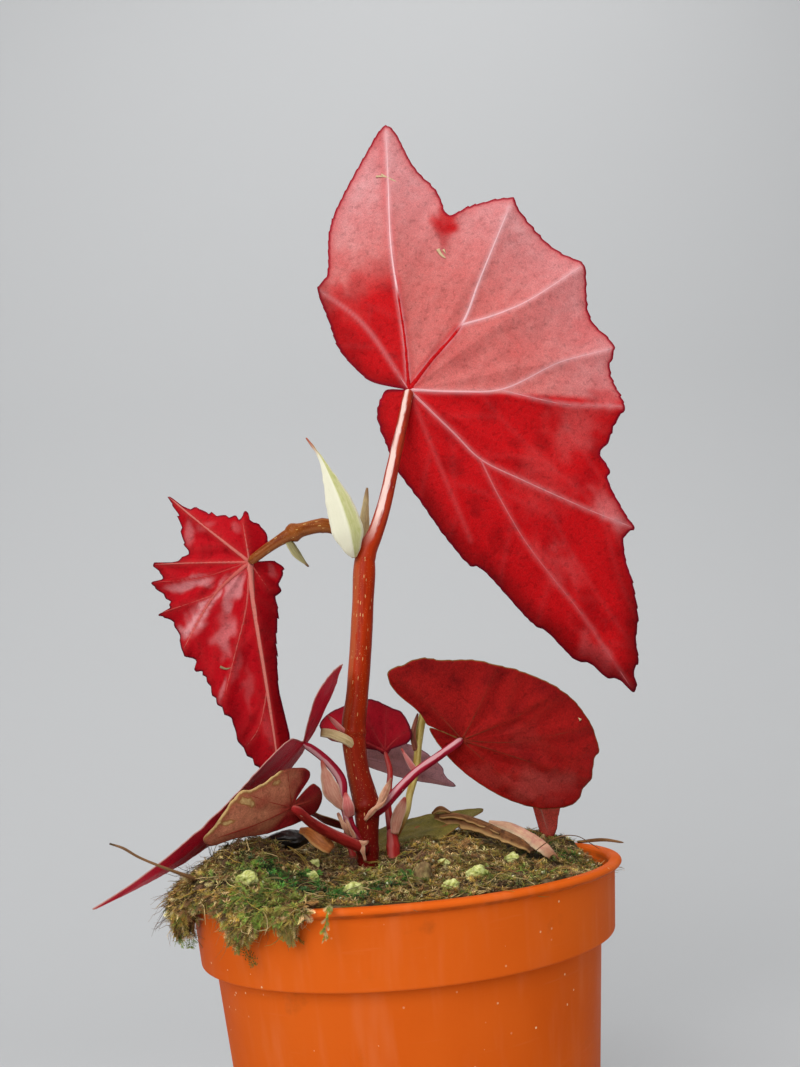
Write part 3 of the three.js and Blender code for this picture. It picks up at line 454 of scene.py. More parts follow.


# colour of a blade: cell blotches, fine mesh of small veins, pale main veins, thin rim, plainer upper side, with
# painted pink sheen on the underside and painted shade where it curls away
def makeBladeGroup():
    given = startGroup("bladeSkin", {
        "place": (0, 0, 0), "near": 0.0, "edge": 5.0, "paintedSheen": 0.0, "dry": 0.0, "paintedShade": 0.0, "rimWidth": 0.4,
        "blotch": 0.7, "net": 0.006, "grain": 0.35, "base": "#c10e14", "deep": "#8a030c", "vein": "#f3c3c6",
        "paintedHighlight": "#d27c76", "rim": "#960a22", "upper": "#55301f", "upperDeep": "#3a2a1c", "dried": "#dccb9c",
    })
    place = given["place"]
    swirl = put("TexNoise", {"Vector": place, "Scale": 0.22, "Detail": 2.0})["Color"]
    bent = vectorMaths("ADD", place, vectorMaths("MULTIPLY", swirl, (6.0, 6.0, 0)))
    cells = put("TexVoronoi", {"Vector": bent, "Scale": 0.19}, feature="SMOOTH_F1")["Distance"]
    cloud = noiseAt(place, 0.12, detail=4.0)
    blotch = times(times(spread(cells, 0.12, 0.55, 1.0, 0.0), spread(cloud, 0.36, 0.62)), given["blotch"])
    under = mixed(blotch, given["base"], given["deep"])
    patchy = spread(noiseAt(place, 0.33, 5.0, 0.65), 0.35, 0.72)
    far = vectorMaths("LENGTH", place, output="Value")
    sheenColour = mixed(spread(far, 22, 62, 0.0, 0.5), given["paintedHighlight"], "#e6b9be")
    # painted sheen: a paler pink is mixed in by the sheen mark, standing in for the light's reflection on the glossy
    # underside
    under = mixed(times(given["paintedSheen"], spread(patchy, 0.0, 1.0, 0.84, 1.0)), under, sheenColour)
    net = put("TexVoronoi", {"Vector": bent, "Scale": 0.62}, feature="DISTANCE_TO_EDGE")["Distance"]
    under = mixed(times(spread(net, 0.0, 0.09, 1.0, 0.0), given["net"]), under, given["vein"])
    fine = noiseAt(place, 3.4, 6.0, 0.85)
    grain = spread(fine, 0.3, 0.7)
    # the dimples darken the colour as painted shade in the dents, and also make the bump
    dimples = spread(noiseAt(place, 0.8, 4.0, 0.6), 0.31, 0.48, -0.2, 0.0)
    bright = plus(plus(times(maths("SUBTRACT", grain, 0.5), given["grain"]), dimples), 1.0)
    under = mixed(given["near"], brighter(under, bright), given["vein"])
    over = mixed(spread(cloud, 0.4, 0.65), given["upper"], given["upperDeep"])
    over = brighter(mixed(times(given["near"], 0.55), over, given["vein"]), bright)
    whole = mixed(spread(heightOf(place), -0.3, 0.3), under, over)
    rim = spread(maths("DIVIDE", given["edge"], given["rimWidth"]), 0.2, 1.0, 1.0, 0.0)
    whole = mixed(rim, whole, given["rim"])
    ragged = plus(given["dry"], times(maths("SUBTRACT", noiseAt(place, 1.1, 5.0, 0.7), 0.5), 0.9))
    scorched = mixed(spread(ragged, 0.5, 0.9), "#95603a", given["dried"])
    whole = mixed(spread(ragged, 0.22, 0.55), whole, scorched)
    # painted shade: the colour is darkened by the shade mark, standing in for shade where the blade curls away from
    # the light
    whole = brighter(whole, maths("SUBTRACT", 1.0, times(given["paintedShade"], 0.74)))
    return finishGroup({
        "Base Color": whole, "Normal": bumpFrom(plus(times(dimples, 3.0), fine), 0.55, 0.00022),
        "Roughness": spread(grain, 0.0, 1.0, 0.36, 0.5),
    })


bladeGroup = makeBladeGroup()


# a blade's own directions: along to its main tip, face to its upper side, across to its side
def leafAxes(leaf):
    along = unit(leaf["along"])
    face = np.array(leaf["face"], float)
    face = unit(face - face @ along * along)
    return np.cross(along, face), along, face


# how far the blade rises towards its upper side: cup, folds, sag, and a pleat between two veins
def bladeRise(leaf, across, along):
    reach = np.hypot(across, along)
    rise = leaf["cup"] * reach**2 + leaf["rightFold"] * np.maximum(0, across)
    rise = rise + leaf["baseFold"] * np.maximum(0, -along)
    if "sag" in leaf:
        share = np.clip(along / leaf["length"], 0, 1)
        rise = rise - leaf["sag"] * 4 * share * (1 - share)
    if "veins" in leaf:
        turn = np.degrees(np.arctan2(across, along))
        turn = np.where(turn < leaf["veins"][0], turn + 360, turn)
        around = np.array(leaf["veins"] + [leaf["veins"][0] + 360])
        after = np.clip(np.searchsorted(around, turn, side="right"), 1, len(around) - 1)
        low, high = around[after - 1], around[after]
        arch = np.sqrt(np.sin(np.pi * (turn - low) / (high - low))**2 + 0.01) - 0.1
        rise = rise + leaf["pleat"] * np.minimum(1, (high - low) / 40) * reach * arch
    return rise


def bladeAt(leaf, spots, lift):
    across, along, face = leafAxes(leaf)
    rise = bladeRise(leaf, spots[:, 0], spots[:, 1]) + lift
    return np.array(leaf["at"]) + spots[:, :1] * across + spots[:, 1:2] * along + rise[:, None] * face


# the cut edge with small uneven teeth, in falling angle round the petiole's end
def bladeEdge(leaf, random):
    line = curveThrough(leaf["outline"], leafSkin["edgeStep"], closed=True)
    turn = np.minimum.accumulate(np.unwrap(np.arctan2(line[:, 0], line[:, 1])))
    turn = np.maximum(turn, turn[0] - fullTurn + 1e-4)
    reach, travel = np.hypot(line[:, 0], line[:, 1]), travelOf(line)
    at, places, sizes = 0.0, [0.0], [0.0]
    while at < travel[-1]:
        gap = random.uniform(*leafSkin["toothGap"])
        places += [at + gap * 0.8, at + gap]
        sizes += [random.uniform(*leafSkin["toothSize"]) * leaf["teeth"], 0.0]
        at += gap
    reach = reach + np.interp(travel, places, sizes) * np.minimum(1, reach / 10)
    return np.column_stack([reach * np.sin(turn), reach * np.cos(turn)])


def nearest(spots, lines):
    best = np.full(len(spots), 99.0)
    for line in lines:
        for part in range(0, len(spots), 4000):
            chunk = spots[part:part + 4000]
            away = np.sqrt(((chunk[:, None, :] - line[None, :, :]) ** 2).sum(-1)).min(1)
            best[part:part + 4000] = np.minimum(best[part:part + 4000], away)
    return best


# side veins leave each main vein in turn, bend outwards and stop at the edge or at another vein
def growSideVeins(mains, edge, random):
    edgeTurn = np.arctan2(edge[:, 0], edge[:, 1])
    order = np.argsort(edgeTurn)
    edgeTurn, edgeReach = edgeTurn[order], np.hypot(edge[:, 0], edge[:, 1])[order]
    grown = []
    for index, line in enumerate(mains):
        others = [other for i, other in enumerate(mains) if i != index]
        at = leafSkin["branchGap"] * random.uniform(0.5, 0.9)
        side = 1
        while at < len(line) - 3:
            flow = line[min(int(at) + 1, len(line) - 1)] - line[int(at) - 1]
            heading = math.atan2(flow[0], flow[1]) + side * math.radians(random.uniform(*leafSkin["branchLean"]))
            spot, path = line[int(at)].copy(), [line[int(at)].copy()]
            for step in range(leafSkin["branchLength"]):
                heading -= side * math.radians(random.uniform(*leafSkin["branchBend"]))
                spot = spot + np.array([math.sin(heading), math.cos(heading)])
                if np.hypot(*spot) > np.interp(math.atan2(spot[0], spot[1]), edgeTurn, edgeReach) - 0.9:
                    break
                path.append(spot.copy())
                if step > 3 and nearest(spot[None], others + grown)[0] < 0.8:
                    break
            if len(path) > 4:
                grown.append(np.array(path))
            at += leafSkin["branchGap"] * random.uniform(0.35, 0.65)
            side = -side
    return grown


# one raised vein on the underside, a closed lens that tapers to its tip
def veinRib(leaf, line, lift, wide, thin, lateBy, scab, show):
    flow = unit(np.gradient(line, axis=0))
    side = np.column_stack([flow[:, 1], -flow[:, 0]])
    rows, count = len(line), leafSkin["ribSides"]
    share = np.linspace(0, 1, rows)
    half = (wide + (thin - wide) * share**0.6) * np.minimum(1, (1 - share) * rows / 3 + 0.15)
    low = lift - leafSkin["half"] + 0.05
    rings = [bladeAt(leaf, line + side * (half * u)[:, None], low - leafSkin["ribHeight"] * half * (1 - u * u) ** 2)
             for u in np.linspace(-1, 1, count)]
    full = np.ones(rows * count)
    late = np.repeat(smooth((np.arange(rows) - lateBy) / 4 + 0.5), count) if lateBy else full
    marks = {
        "place": np.column_stack([np.repeat(line, count, axis=0), -full]), "near": late * leaf["veinShow"] * show,
        "edge": full * 9, "paintedSheen": full * 0, "dry": full * scab, "paintedShade": full * 0,
    }
    return {"points": np.stack(rings, axis=1).reshape(-1, 3), "faces": loopFaces(rows, count), "marks": marks}


def turnOf(spots):
    return np.degrees(np.arctan2(spots[:, 0], spots[:, 1]))


def turnGap(turn, middle):
    return np.abs((turn - middle + 180) % 360 - 180)


# how strongly each place on the underside gets painted pink sheen, dried tissue or painted shade: by fans round the
# petiole, spots and lines
def blend(spots, fans, blots, lines, crisp=1.5):
    turn, reach = turnOf(spots), np.hypot(spots[:, 0], spots[:, 1])
    value = np.zeros(len(spots))
    for middle, half, soft, level, fromReach in fans:
        inside = smooth((half - turnGap(turn, middle)) / soft + 0.5) * smooth((reach - fromReach) / 14 + 0.5)
        value += (level - value) * inside
    flat = np.column_stack([spots, np.zeros(len(spots))])
    stray = 0.14 * np.column_stack([wobble(flat, 3.5, 4), wobble(flat, 3.5, 5)])
    stray += 0.05 * np.column_stack([wobble(flat, 1.4, 6), wobble(flat, 1.4, 7)])
    for across, along, wide, tall, lean, level in blots:
        cosine, sine = math.cos(math.radians(lean)), math.sin(math.radians(lean))
        x, y = (spots + stray * (wide + tall) * 2 - (across, along)).T
        inside = np.exp(-((x * cosine - y * sine) / wide) ** 2 - ((x * sine + y * cosine) / tall) ** 2)
        value += (level - value) * smooth(inside * crisp - crisp * 0.15)
    for path, wide, level in lines:
        value += (level - value) * np.exp(-(nearest(spots, [curveThrough(path, 1.0)]) / wide) ** 2)
    return np.clip(value, 0, 1)


def swellAt(spots, fromRim, seed):
    waves = wobble(np.column_stack([spots, np.full(len(spots), seed)]), 9.0, seed)
    return 0.5 * waves * smooth(fromRim / 4 + 0.2)


# two skins of rings round the petiole's end, closed at the rim
def skinFaces(count, rings, total):
    faces, rim = [], 1 + (rings - 1) * count
    for i in range(count):
        j = (i + 1) % count
        faces += [(0, 1 + i, 1 + j), (total, total + 1 + j, total + 1 + i),
                  (rim + i, total + rim + i, total + rim + j, rim + j)]
    for ring in range(rings - 1):
        low, high = 1 + ring * count, 1 + (ring + 1) * count
        for i in range(count):
            j = (i + 1) % count
            faces += [(low + i, high + i, high + j, low + j),
                      (total + low + i, total + low + j, total + high + j, total + high + i)]
    return faces


# a blade: two skins, with ribs along the veins
def modelBlade(leaf, seed):
    random = np.random.default_rng(seed)
    edge = bladeEdge(leaf, random)
    mains = [curveThrough(rib[1], 1.0) for rib in leaf["ribs"]]
    sides = growSideVeins(mains, edge, random)
    length = np.hypot(edge[:, 0], edge[:, 1])
    fewest, most = leafSkin["rings"]
    ringCount = int(min(most, max(fewest, length.max() / leafSkin["ringStep"])))
    shares = (np.arange(1, ringCount + 1) / ringCount) ** 0.85
    spots = np.vstack([[[0.0, 0.0]]] + [edge * share for share in shares])
    fromMain = nearest(spots, mains)
    fromSide = nearest(spots, sides) if sides else np.full(len(spots), 9.0)
    fromRim = np.concatenate([[9.0]] + [length * (1 - share) for share in shares])
    fromRim = np.minimum(fromRim, nearest(spots, [edge]))
    cells = smooth(np.minimum(fromMain, fromSide) / 2.4)
    puff = leafSkin["quilt"] * cells * leaf["quilt"] + swellAt(spots, fromRim, seed)
    half = leafSkin["rimHalf"] + (leafSkin["half"] - leafSkin["rimHalf"]) * smooth(fromRim / 2.5)
    shows = [rib[3] if len(rib) > 3 else 1.0 for rib in leaf["ribs"]]
    near = np.exp(-(fromSide / 0.7) ** 2) * leaf["sideShow"]
    for line, show in zip(mains, shows):
        near = np.maximum(near, np.exp(-(nearest(spots, [line]) / 0.65) ** 2) * leaf["haloShow"] * show)
    paintedSheen = blend(spots, leaf["paintedSheenFans"], leaf["paintedSheenSpots"], leaf["paintedSheenLines"], leaf["crisp"])
    # the painted sheen fades towards the rim and, where cut is given, next to the main veins
    paintedSheen *= 1 - 0.5 * np.exp(-(fromRim / leaf["sheenFadeAtRim"]) ** 2)
    if "cut" in leaf:
        paintedSheen *= smooth(fromMain / leaf["cut"])
    turn = turnOf(spots)
    dry, paintedShade = blend(spots, [], leaf["drySpots"], []), blend(spots, [], leaf["paintedShadeSpots"], [])
    if "dryBand" in leaf:
        middle, wideTurn, wide = leaf["dryBand"]
        inside = smooth((wideTurn - turnGap(turn, middle)) / 14 + 0.5)
        dry = np.maximum(dry, inside * smooth((wide - fromRim) / 1.2 + 0.5))
    # painted shade along the margins that curl away from the light
    for middle, wideTurn, wide, level in leaf["paintedShadeFans"]:
        inside = smooth((wideTurn - turnGap(turn, middle)) / 8 + 0.5)
        paintedShade = np.maximum(paintedShade, level * inside * smooth((wide - fromRim) / wide))
    place = np.column_stack([np.tile(spots, (2, 1)), np.repeat([1.0, -1.0], len(spots))])
    marks = {"near": near, "edge": fromRim, "paintedSheen": paintedSheen, "dry": dry, "paintedShade": paintedShade}
    parts = [{
        "points": np.vstack([bladeAt(leaf, spots, puff + half), bladeAt(leaf, spots, puff - half)]),
        "faces": skinFaces(len(edge), ringCount, len(spots)),
        "marks": {"place": place, **{mark: np.tile(values, 2) for mark, values in marks.items()}},
    }]
    ribs = [(line, rib[0], rib[0] * 0.3, rib[2] if len(rib) > 2 else 0, 0.0, show)
            for rib, line, show in zip(leaf["ribs"], mains, shows)]
    ribs += [(curveThrough(path, 0.4), wide, wide * 0.5, 0, 1.0, 1.0) for wide, path in leaf["scabs"]]
    ribs += [(line, leaf["sideWide"], 0.05, 0, 0.0, leaf["sideShow"] * 1.5) for line in sides if leaf["sideWide"]]
    for line, *rib in ribs:
        parts.append(veinRib(leaf, line, swellAt(line, nearest(line, [edge]), seed), *rib))
    return joined(parts)


def addLeaf(name, leaf, seed, looks, slot):
    piece = addPiece(name + "Blade", modelBlade({**leafUsual, **leaf}, seed))
    shine = {"Specular IOR Level": leafSkin["shine"], "IOR": leafSkin["index"]}
    marks = ("near", "edge", "paintedSheen", "dry", "paintedShade")
    settle(piece, [cadName(name) + "_blade"], slot, skinMaterial(name + "Skin", bladeGroup, marks, looks, shine))


topLeaf = {
    "at": (9.6, 5, 169.2), "along": (0.52, 0.1, -0.85), "face": (0.03, 0.99, 0.13), "cup": 0.0014,
    "pleat": 0.06, "veins": [-175, -14, 0, 22, 50, 66, 91, 116, 149],
    "outline": [
        (35.5, -57.7), (34.2, -44.6), (34.8, -36.2), (33.2, -30.8), (33.9, -29.6), (38.8, -28.9), (47.9, -23.9),
        (47.3, -21.9), (47.7, -12.7), (49.2, -6), (50.7, -2.9), (51, -1), (45.1, 8.6), (44.5, 12.4), (45, 15.9),
        (44.3, 18.8), (40.6, 22), (39.4, 25.7), (37.8, 31.1), (33.9, 32.8), (29.9, 35.6), (27.2, 36.1), (26.6, 40.8),
        (25.2, 41.7), (23.2, 51.9), (23.1, 54.2), (20, 54.7), (17.5, 59.1), (16, 64), (12.4, 71.3), (8.7, 75.6),
        (6.8, 79.1), (4.2, 80.7), (3, 83.4), (1.5, 84.2), (0.2, 79.5), (-1.6, 77.9), (-2.9, 73), (-4.9, 70.7),
        (-6.7, 61.4), (-8.1, 58.3), (-10.7, 41.1), (-12, 39.6), (-12.8, 31.3), (-12.6, 21), (-12.6, 12.7),
        (-11.5, 8.1), (-9.9, 2.4), (-8.9, 0.2), (-6.3, -2.1), (-3.9, -3), (-0.8, -0.8), (-4, -4.5), (-5.8, -7.3),
        (-7, -14.6), (-6.8, -18.1), (-5, -24), (-2.4, -32.1), (1, -33.6), (7.3, -42.1), (11.4, -46.1), (17, -49.6),
        (25.2, -53.8),
    ],
    "ribs": [
        (0.5, [(0, 0), (6.1, -10), (16.5, -29.6), (26.3, -44.5), (34.3, -56.4)], 24),
        (0.6, [(0, 0), (8, -2.6), (18.8, -5.5), (28.6, -11.8), (45.6, -22.6)], 19),
        (0.38, [(18.8, -5.5), (32.4, -1.6), (50.3, -1.1)], 0, 0.85),
        (0.45, [(0, 0), (7, 5.5), (16.7, 11.8), (31.6, 14.5), (43.7, 18.7)], 0, 0.75),
        (0.25, [(16.7, 11.8), (25.8, 22.1), (37.5, 30.9)], 0, 0.5),
        (0.42, [(0, 0), (0.8, 5), (2.4, 13.8), (3.8, 22), (8.7, 31.2), (16, 43.7), (22.4, 53.8)], 0, 0.45),
        (0.3, [(3.8, 22), (2.2, 30.5), (1, 41.6), (1.3, 53.7), (1.8, 62.3), (1.5, 82.6)], 0, 0.22),
        (0.16, [(0, 0), (0.7, -20.1), (-2.5, -31.3)], 0, 0.45), (0.12, [(0, 0), (-2.5, 9.5), (-8.8, 35.2)], 0, 0.12),
    ],
    # painted sheen: the pink upper half and pale patches of the underside, where it would reflect the soft light
    "paintedSheenFans": [(101, 48.5, 3, 0.8, 0), (173, 23, 8, 0.82, 30)],
    "paintedSheenSpots": [
        (8, -36, 5, 11, -40, 1.0), (20, -46, 5, 6, -60, 0.95), (44, -18, 3, 5, 0, 0.95), (14, 1, 6, 3.4, 0, 0.62),
        (26, 6, 5, 3, 30, 0.66), (32.8, -30.4, 3.4, 2.6, 0, 0.1), (30.8, -27.6, 3, 3.6, -20, 0.0),
        (28.6, -24.6, 1.8, 2.8, -20, 0.3), (43, 12, 6, 4, 0, 0.6), (25, 29, 8, 6, 0, 0.2),
        (20.5, 48.8, 3.4, 7, 0, 0.38), (11.5, 34, 7, 8, 0, 0.09), (4, 51, 4, 9, 20, 0.1), (-0.9, 72, 2.6, 8, 0, 0.12),
        (35, 26, 4, 4, 0, 0.32), (6.6, -35.5, 4, 4.6, 0, 0.62), (6.2, -28.4, 3.4, 4, 0, 0.3),
        (0.4, -26, 3, 6, 0, 0.12),
    ],
    "paintedSheenLines": [([(0, 0), (8, -2.6), (17.5, -5.2)], 1.1, 0.0), ([(0.2, -1), (6.1, -10), (13, -23)], 1.0, 0.0)],
    "sideShow": 0.016, "sideWide": 0, "haloShow": 0.42, "veinShow": 0.95, "sheenFadeAtRim": 1.3, "crisp": 1.15,
    # painted shade: darker margins where the blade curls away, and darker spots on the blade
    "paintedShadeFans": [(-8, 22, 6, 0.75), (-60, 40, 3, 0.5), (30, 20, 3, 0.3), (-150, 30, 4, 0.5)],
    "paintedShadeSpots": [
        (-2.4, 19.5, 2.4, 3.2, 0, 0.34), (-2.9, 29.9, 2.2, 2.8, 0, 0.34), (-4.1, 38.6, 2, 3, 0, 0.3),
        (11, 15.2, 2.6, 2, 30, 0.25), (17, 26.8, 2.2, 2, 30, 0.3), (12.6, 23.7, 2, 1.6, 0, 0.25),
        (5, 61.2, 2, 2.6, 0, 0.28), (0.1, 64.5, 1.6, 2.6, 0, 0.25), (-6, 60.1, 1.6, 2.6, 0, 0.2),
        (-4, -17, 3, 5, 0, 0.35), (5, -27, 2.4, 3, 0, 0.2),
    ],
    "scabs": [
        (0.28, [(25.1, -47.8), (26.6, -46.4), (27.6, -44.6), (28.6, -43)]), (0.2, [(26.4, -47.4), (27.2, -45.2)]),
        (0.5, [(25.8, -24), (25.6, -22.6), (25.9, -21)]), (0.3, [(26.8, -23.2), (26.6, -22)]),
    ],
}
topLeafLooks = {
    # the pale pink vein colour is partly the veins' own paler tone and partly painted highlight on the raised glossy
    # ribs
    "base": "#c10e14", "deep": "#8a030c", "vein": "#f3c3c6", "paintedHighlight": "#d27c76", "rim": "#960a22", "rimWidth": 0.9,
    "upper": "#55301f", "upperDeep": "#3a2a1c", "blotch": 0.5, "grain": 0.5, "dried": "#cfb78e",
}
addLeaf("topLeaf", topLeaf, 3, topLeafLooks, "red_leaf")

leftLeaf = {
    "at": (-26, -4, 130.4), "along": (0.08, 0.13, -0.99), "face": (0.15, 0.98, 0.14), "cup": 0.002,
    "pleat": 0.08, "rightFold": 0.8, "veins": [-178, -137, -99, -88, -71, -47, -19, 0, 28],
    "outline": [
        (-15.4, -16.5), (-11.4, -13.1), (-9.7, -13), (-6.9, -11.1), (-4.7, -10.5), (-0.6, -9), (0.2, -9.9),
        (1.4, -7.8), (2.5, -7.1), (3.3, -4.4), (2.1, -1.1), (0.9, -0.2), (3.6, 0.1), (4.7, 1), (5.1, 2.8), (4.1, 4.8),
        (4.4, 6.3), (3.3, 7.3), (3.3, 10.2), (2.6, 13.2), (1.7, 20.4), (1.3, 26.9), (1.9, 31.2), (1.3, 38.2),
        (0.5, 43), (-1.5, 46.8), (-3.9, 43.5), (-8.3, 35.1), (-9.3, 29.4), (-11.4, 26.4), (-13.7, 19.9), (-14.8, 19.3),
        (-14.7, 17.3), (-16.6, 15.6), (-17.2, 12.3), (-18.6, 8.5), (-20.5, 7.2), (-17.6, 5.9), (-21.2, 0.5),
        (-18.8, 0), (-20.3, -3.3), (-15.5, -2.8), (-12.6, -4.3), (-13.7, -6.6), (-13.8, -12.2),
    ],
    "ribs": [
        (0.45, [(0, 0), (-9.3, -9.8), (-15.4, -16.5)], 0, 0.7), (0.3, [(0, 0), (-0.3, -8.2)], 0, 0.6),
        (0.36, [(0, 0), (-10.4, -1.7), (-20.1, -3.1)], 0, 0.5), (0.25, [(0, 0), (-10.9, 1.3), (-21.1, 0.5)], 0, 0.2),
        (0.5, [(0, 0), (-8.4, 5.2), (-16.3, 14.7)], 0, 0.5), (0.26, [(-8.4, 5.2), (-20.5, 7)], 0, 0.3),
        (0.36, [(0, 0), (-1.6, 7.4), (-9.4, 25.7)], 0, 0.4),
        (0.7, [(0, 0), (-0.5, 9.6), (-0.6, 25.7), (-1.3, 45.8)], 0, 0.85), (0.26, [(0, 0), (2.6, 6)], 0, 0.3),
        (0.26, [(-0.6, 25.7), (-4, 33), (-7, 36)], 0, 0.4),
    ],
    # painted sheen: pale pink patches between the veins, where the glossy underside would reflect the light
    "paintedSheenSpots": [
        (-13.4, 2, 1.3, 5.4, -80, 0.6), (-13, 9.4, 2.2, 5.4, -50, 1.0), (-8.6, 5.2, 1.2, 4.4, -50, 0.8),
        (-4.2, 5, 1.6, 4.6, -33, 0.7), (-7.2, 13.4, 2.4, 4.6, -18, 0.42), (-9.9, 25, 0.8, 3, -25, 0.4),
        (-4.6, 25, 0.9, 4, -10, 0.12), (-12.2, -8, 1.2, 2.6, -30, 0.34), (-8.4, -8.8, 2.4, 0.8, 20, 0.16),
        (-1.9, -7.4, 1.2, 1.4, 30, 0.2), (3.6, 2.2, 0.8, 2, 20, 0.2), (-2, 33, 1, 4, -6, 0.1),
        (-6, 20, 1, 4, -20, 0.12),
    ],
    "teeth": 2.2, "quilt": 2.6, "cut": 0.9, "haloShow": 0.15, "sideShow": 0.02, "sideWide": 0,
    "paintedShadeFans": [(10, 30, 5, 0.5), (-60, 60, 2, 0.35)],
    "paintedShadeSpots": [(-5, 19, 2, 3, 0, 0.3), (-9, -4, 2, 2, 0, 0.25), (0, 18, 1, 5, 0, 0.2), (-6, 31, 1.6, 2, 0, 0.2)],
    "scabs": [(0.3, [(-9.6, 19.6), (-8.2, 20.2), (-6.9, 20.1)])],
}
leftLeafLooks = {
    "base": "#b70c19", "deep": "#82040f", "vein": "#d9877a", "paintedHighlight": "#df9a9c", "rim": "#760a20", "rimWidth": 0.55,
    "upper": "#55301f", "upperDeep": "#3a2a1c", "blotch": 0.5, "dried": "#8f7a5c",
}
addLeaf("leftLeaf", leftLeaf, 5, leftLeafLooks, "red_leaf")

rightLeaf = {
    "at": (12.6, -8, 92.4), "along": (0.9, 0.19, -0.39), "face": (-0.03, 0.93, 0.37), "cup": 0.004,
    "pleat": 0.03, "veins": [-22, 2, 26, 46, 85, 157],
    "outline": [
        (7, -17.3), (9.1, -15.1), (10.5, -13.8), (11.7, -11.7), (12.4, -8.8), (14.6, -3), (15.3, 2.3), (15.6, 5.8),
        (15.3, 12.2), (14.6, 15.5), (13.3, 18.9), (9.9, 23.8), (8, 25.5), (5.8, 27.1), (4.3, 26.7), (0.3, 27.5),
        (-2, 27), (-4.8, 27), (-6.5, 25.4), (-8, 21), (-8.4, 17.7), (-8.4, 14.2), (-8, 10.7), (-6.3, 4), (-4.3, -0.7),
        (-3.1, -2.6), (-1.4, -5.1), (-0.12, -6.2), (0.03, -1), (0.15, -6.9), (0.9, -7.7), (2.1, -9.6), (3.6, -13.9),
        (4.7, -15.8), (5.9, -16.9),
    ],
    "ribs": [
        (0.2, [(0, 0), (1.3, -2.3), (5.3, -11.2), (6.4, -15.8)]), (0.28, [(0, 0), (5.2, 0.6), (14.1, 1.4)]),
        (0.26, [(0, 0), (7, 7.7), (12.1, 12.3)]), (0.28, [(0, 0), (2.7, 9.6), (10.1, 23)]),
        (0.3, [(0, 0), (0.1, 16.3), (0, 27.4)]), (0.22, [(0, 0), (-4.1, 9.5), (-7.1, 17.2)]),
    ],
    "teeth": 0.4, "veinShow": 0.6, "haloShow": 0.12, "sideShow": 0.1, "quilt": 1.5,
    # painted sheen: a paler pink patch near the bottom of the blade
    "paintedSheenSpots": [(-3.6, 18, 4, 7, 20, 0.62), (-5, 8, 2, 5, 0, 0.3), (4, 12, 3, 5, 0, 0.14)],
    "paintedShadeFans": [(150, 50, 7, 0.4), (70, 50, 3, 0.3)], "scabs": [(0.3, [(10.7, 20.6), (11, 20)])],
}
rightLeafLooks = {
    "base": "#9c1816", "deep": "#6a0b0f", "vein": "#6e3220", "paintedHighlight": "#b04a44", "rim": "#8f6a3c",
    "upper": "#4a3a20", "upperDeep": "#32301a", "blotch": 0.6, "grain": 0.7, "rimWidth": 0.22,
}
addLeaf("rightLeaf", rightLeaf, 7, rightLeafLooks, "dark_red_leaf")

edgeOnLeaf = {
    "at": (-16.6, -10, 94.2), "along": (-0.8, -0.23, -0.55), "face": (-0.586, 0.129, 0.8), "length": 43.2,
    "sag": 2, "baseFold": 0.44,
    "outline": [
        (0, 43.2), (-1.5, 35), (-4, 27), (-7, 20), (-9, 14), (-11, 10), (-11.5, 6), (-10, 3), (-6, 1.5), (-1, -0.1),
        (-5.5, -1.4), (-9, -2.6), (-13, -4.2), (-13.5, -5.5), (-11.4, -8.5), (-7, -12), (-1.8, -14.3), (0, -12.7),
        (3, -12.2), (5, -11), (6, -8), (6.5, -3), (9, 2), (11, 6), (12, 13), (11.5, 20), (9.5, 27), (5.5, 35),
    ],
    "ribs": [
        (0.5, [(0, 0), (0.5, 14), (0.6, 28), (0, 42)]), (0.35, [(0, 0), (6, 6), (10, 14)]),
        (0.35, [(0, 0), (3.5, 12), (8.5, 25)]), (0.35, [(0, 0), (-4, 11), (-6.5, 18)]),
        (0.35, [(0, 0), (-8, -6), (-12, -6)]), (0.35, [(0, 0), (1, -6), (1, -12)]), (0.3, [(0, 0), (4, -2), (6, -6)]),
    ],
    "haloShow": 0.06, "veinShow": 0.2, "sideShow": 0.0,
}
# a lighter copy of the left leaf's colours: the raised base colour is painted light for this leaf, which lies in shade
edgeOnLooks = dict(leftLeafLooks, base="#e02440", deep="#b0122e", paintedHighlight="#d07070", rim="#c58a80", rimWidth=0.3,
                   vein="#c8424c", upper="#7c2226", upperDeep="#4e1a1a")
addLeaf("edgeOnLeaf", edgeOnLeaf, 11, edgeOnLooks, "red_leaf")

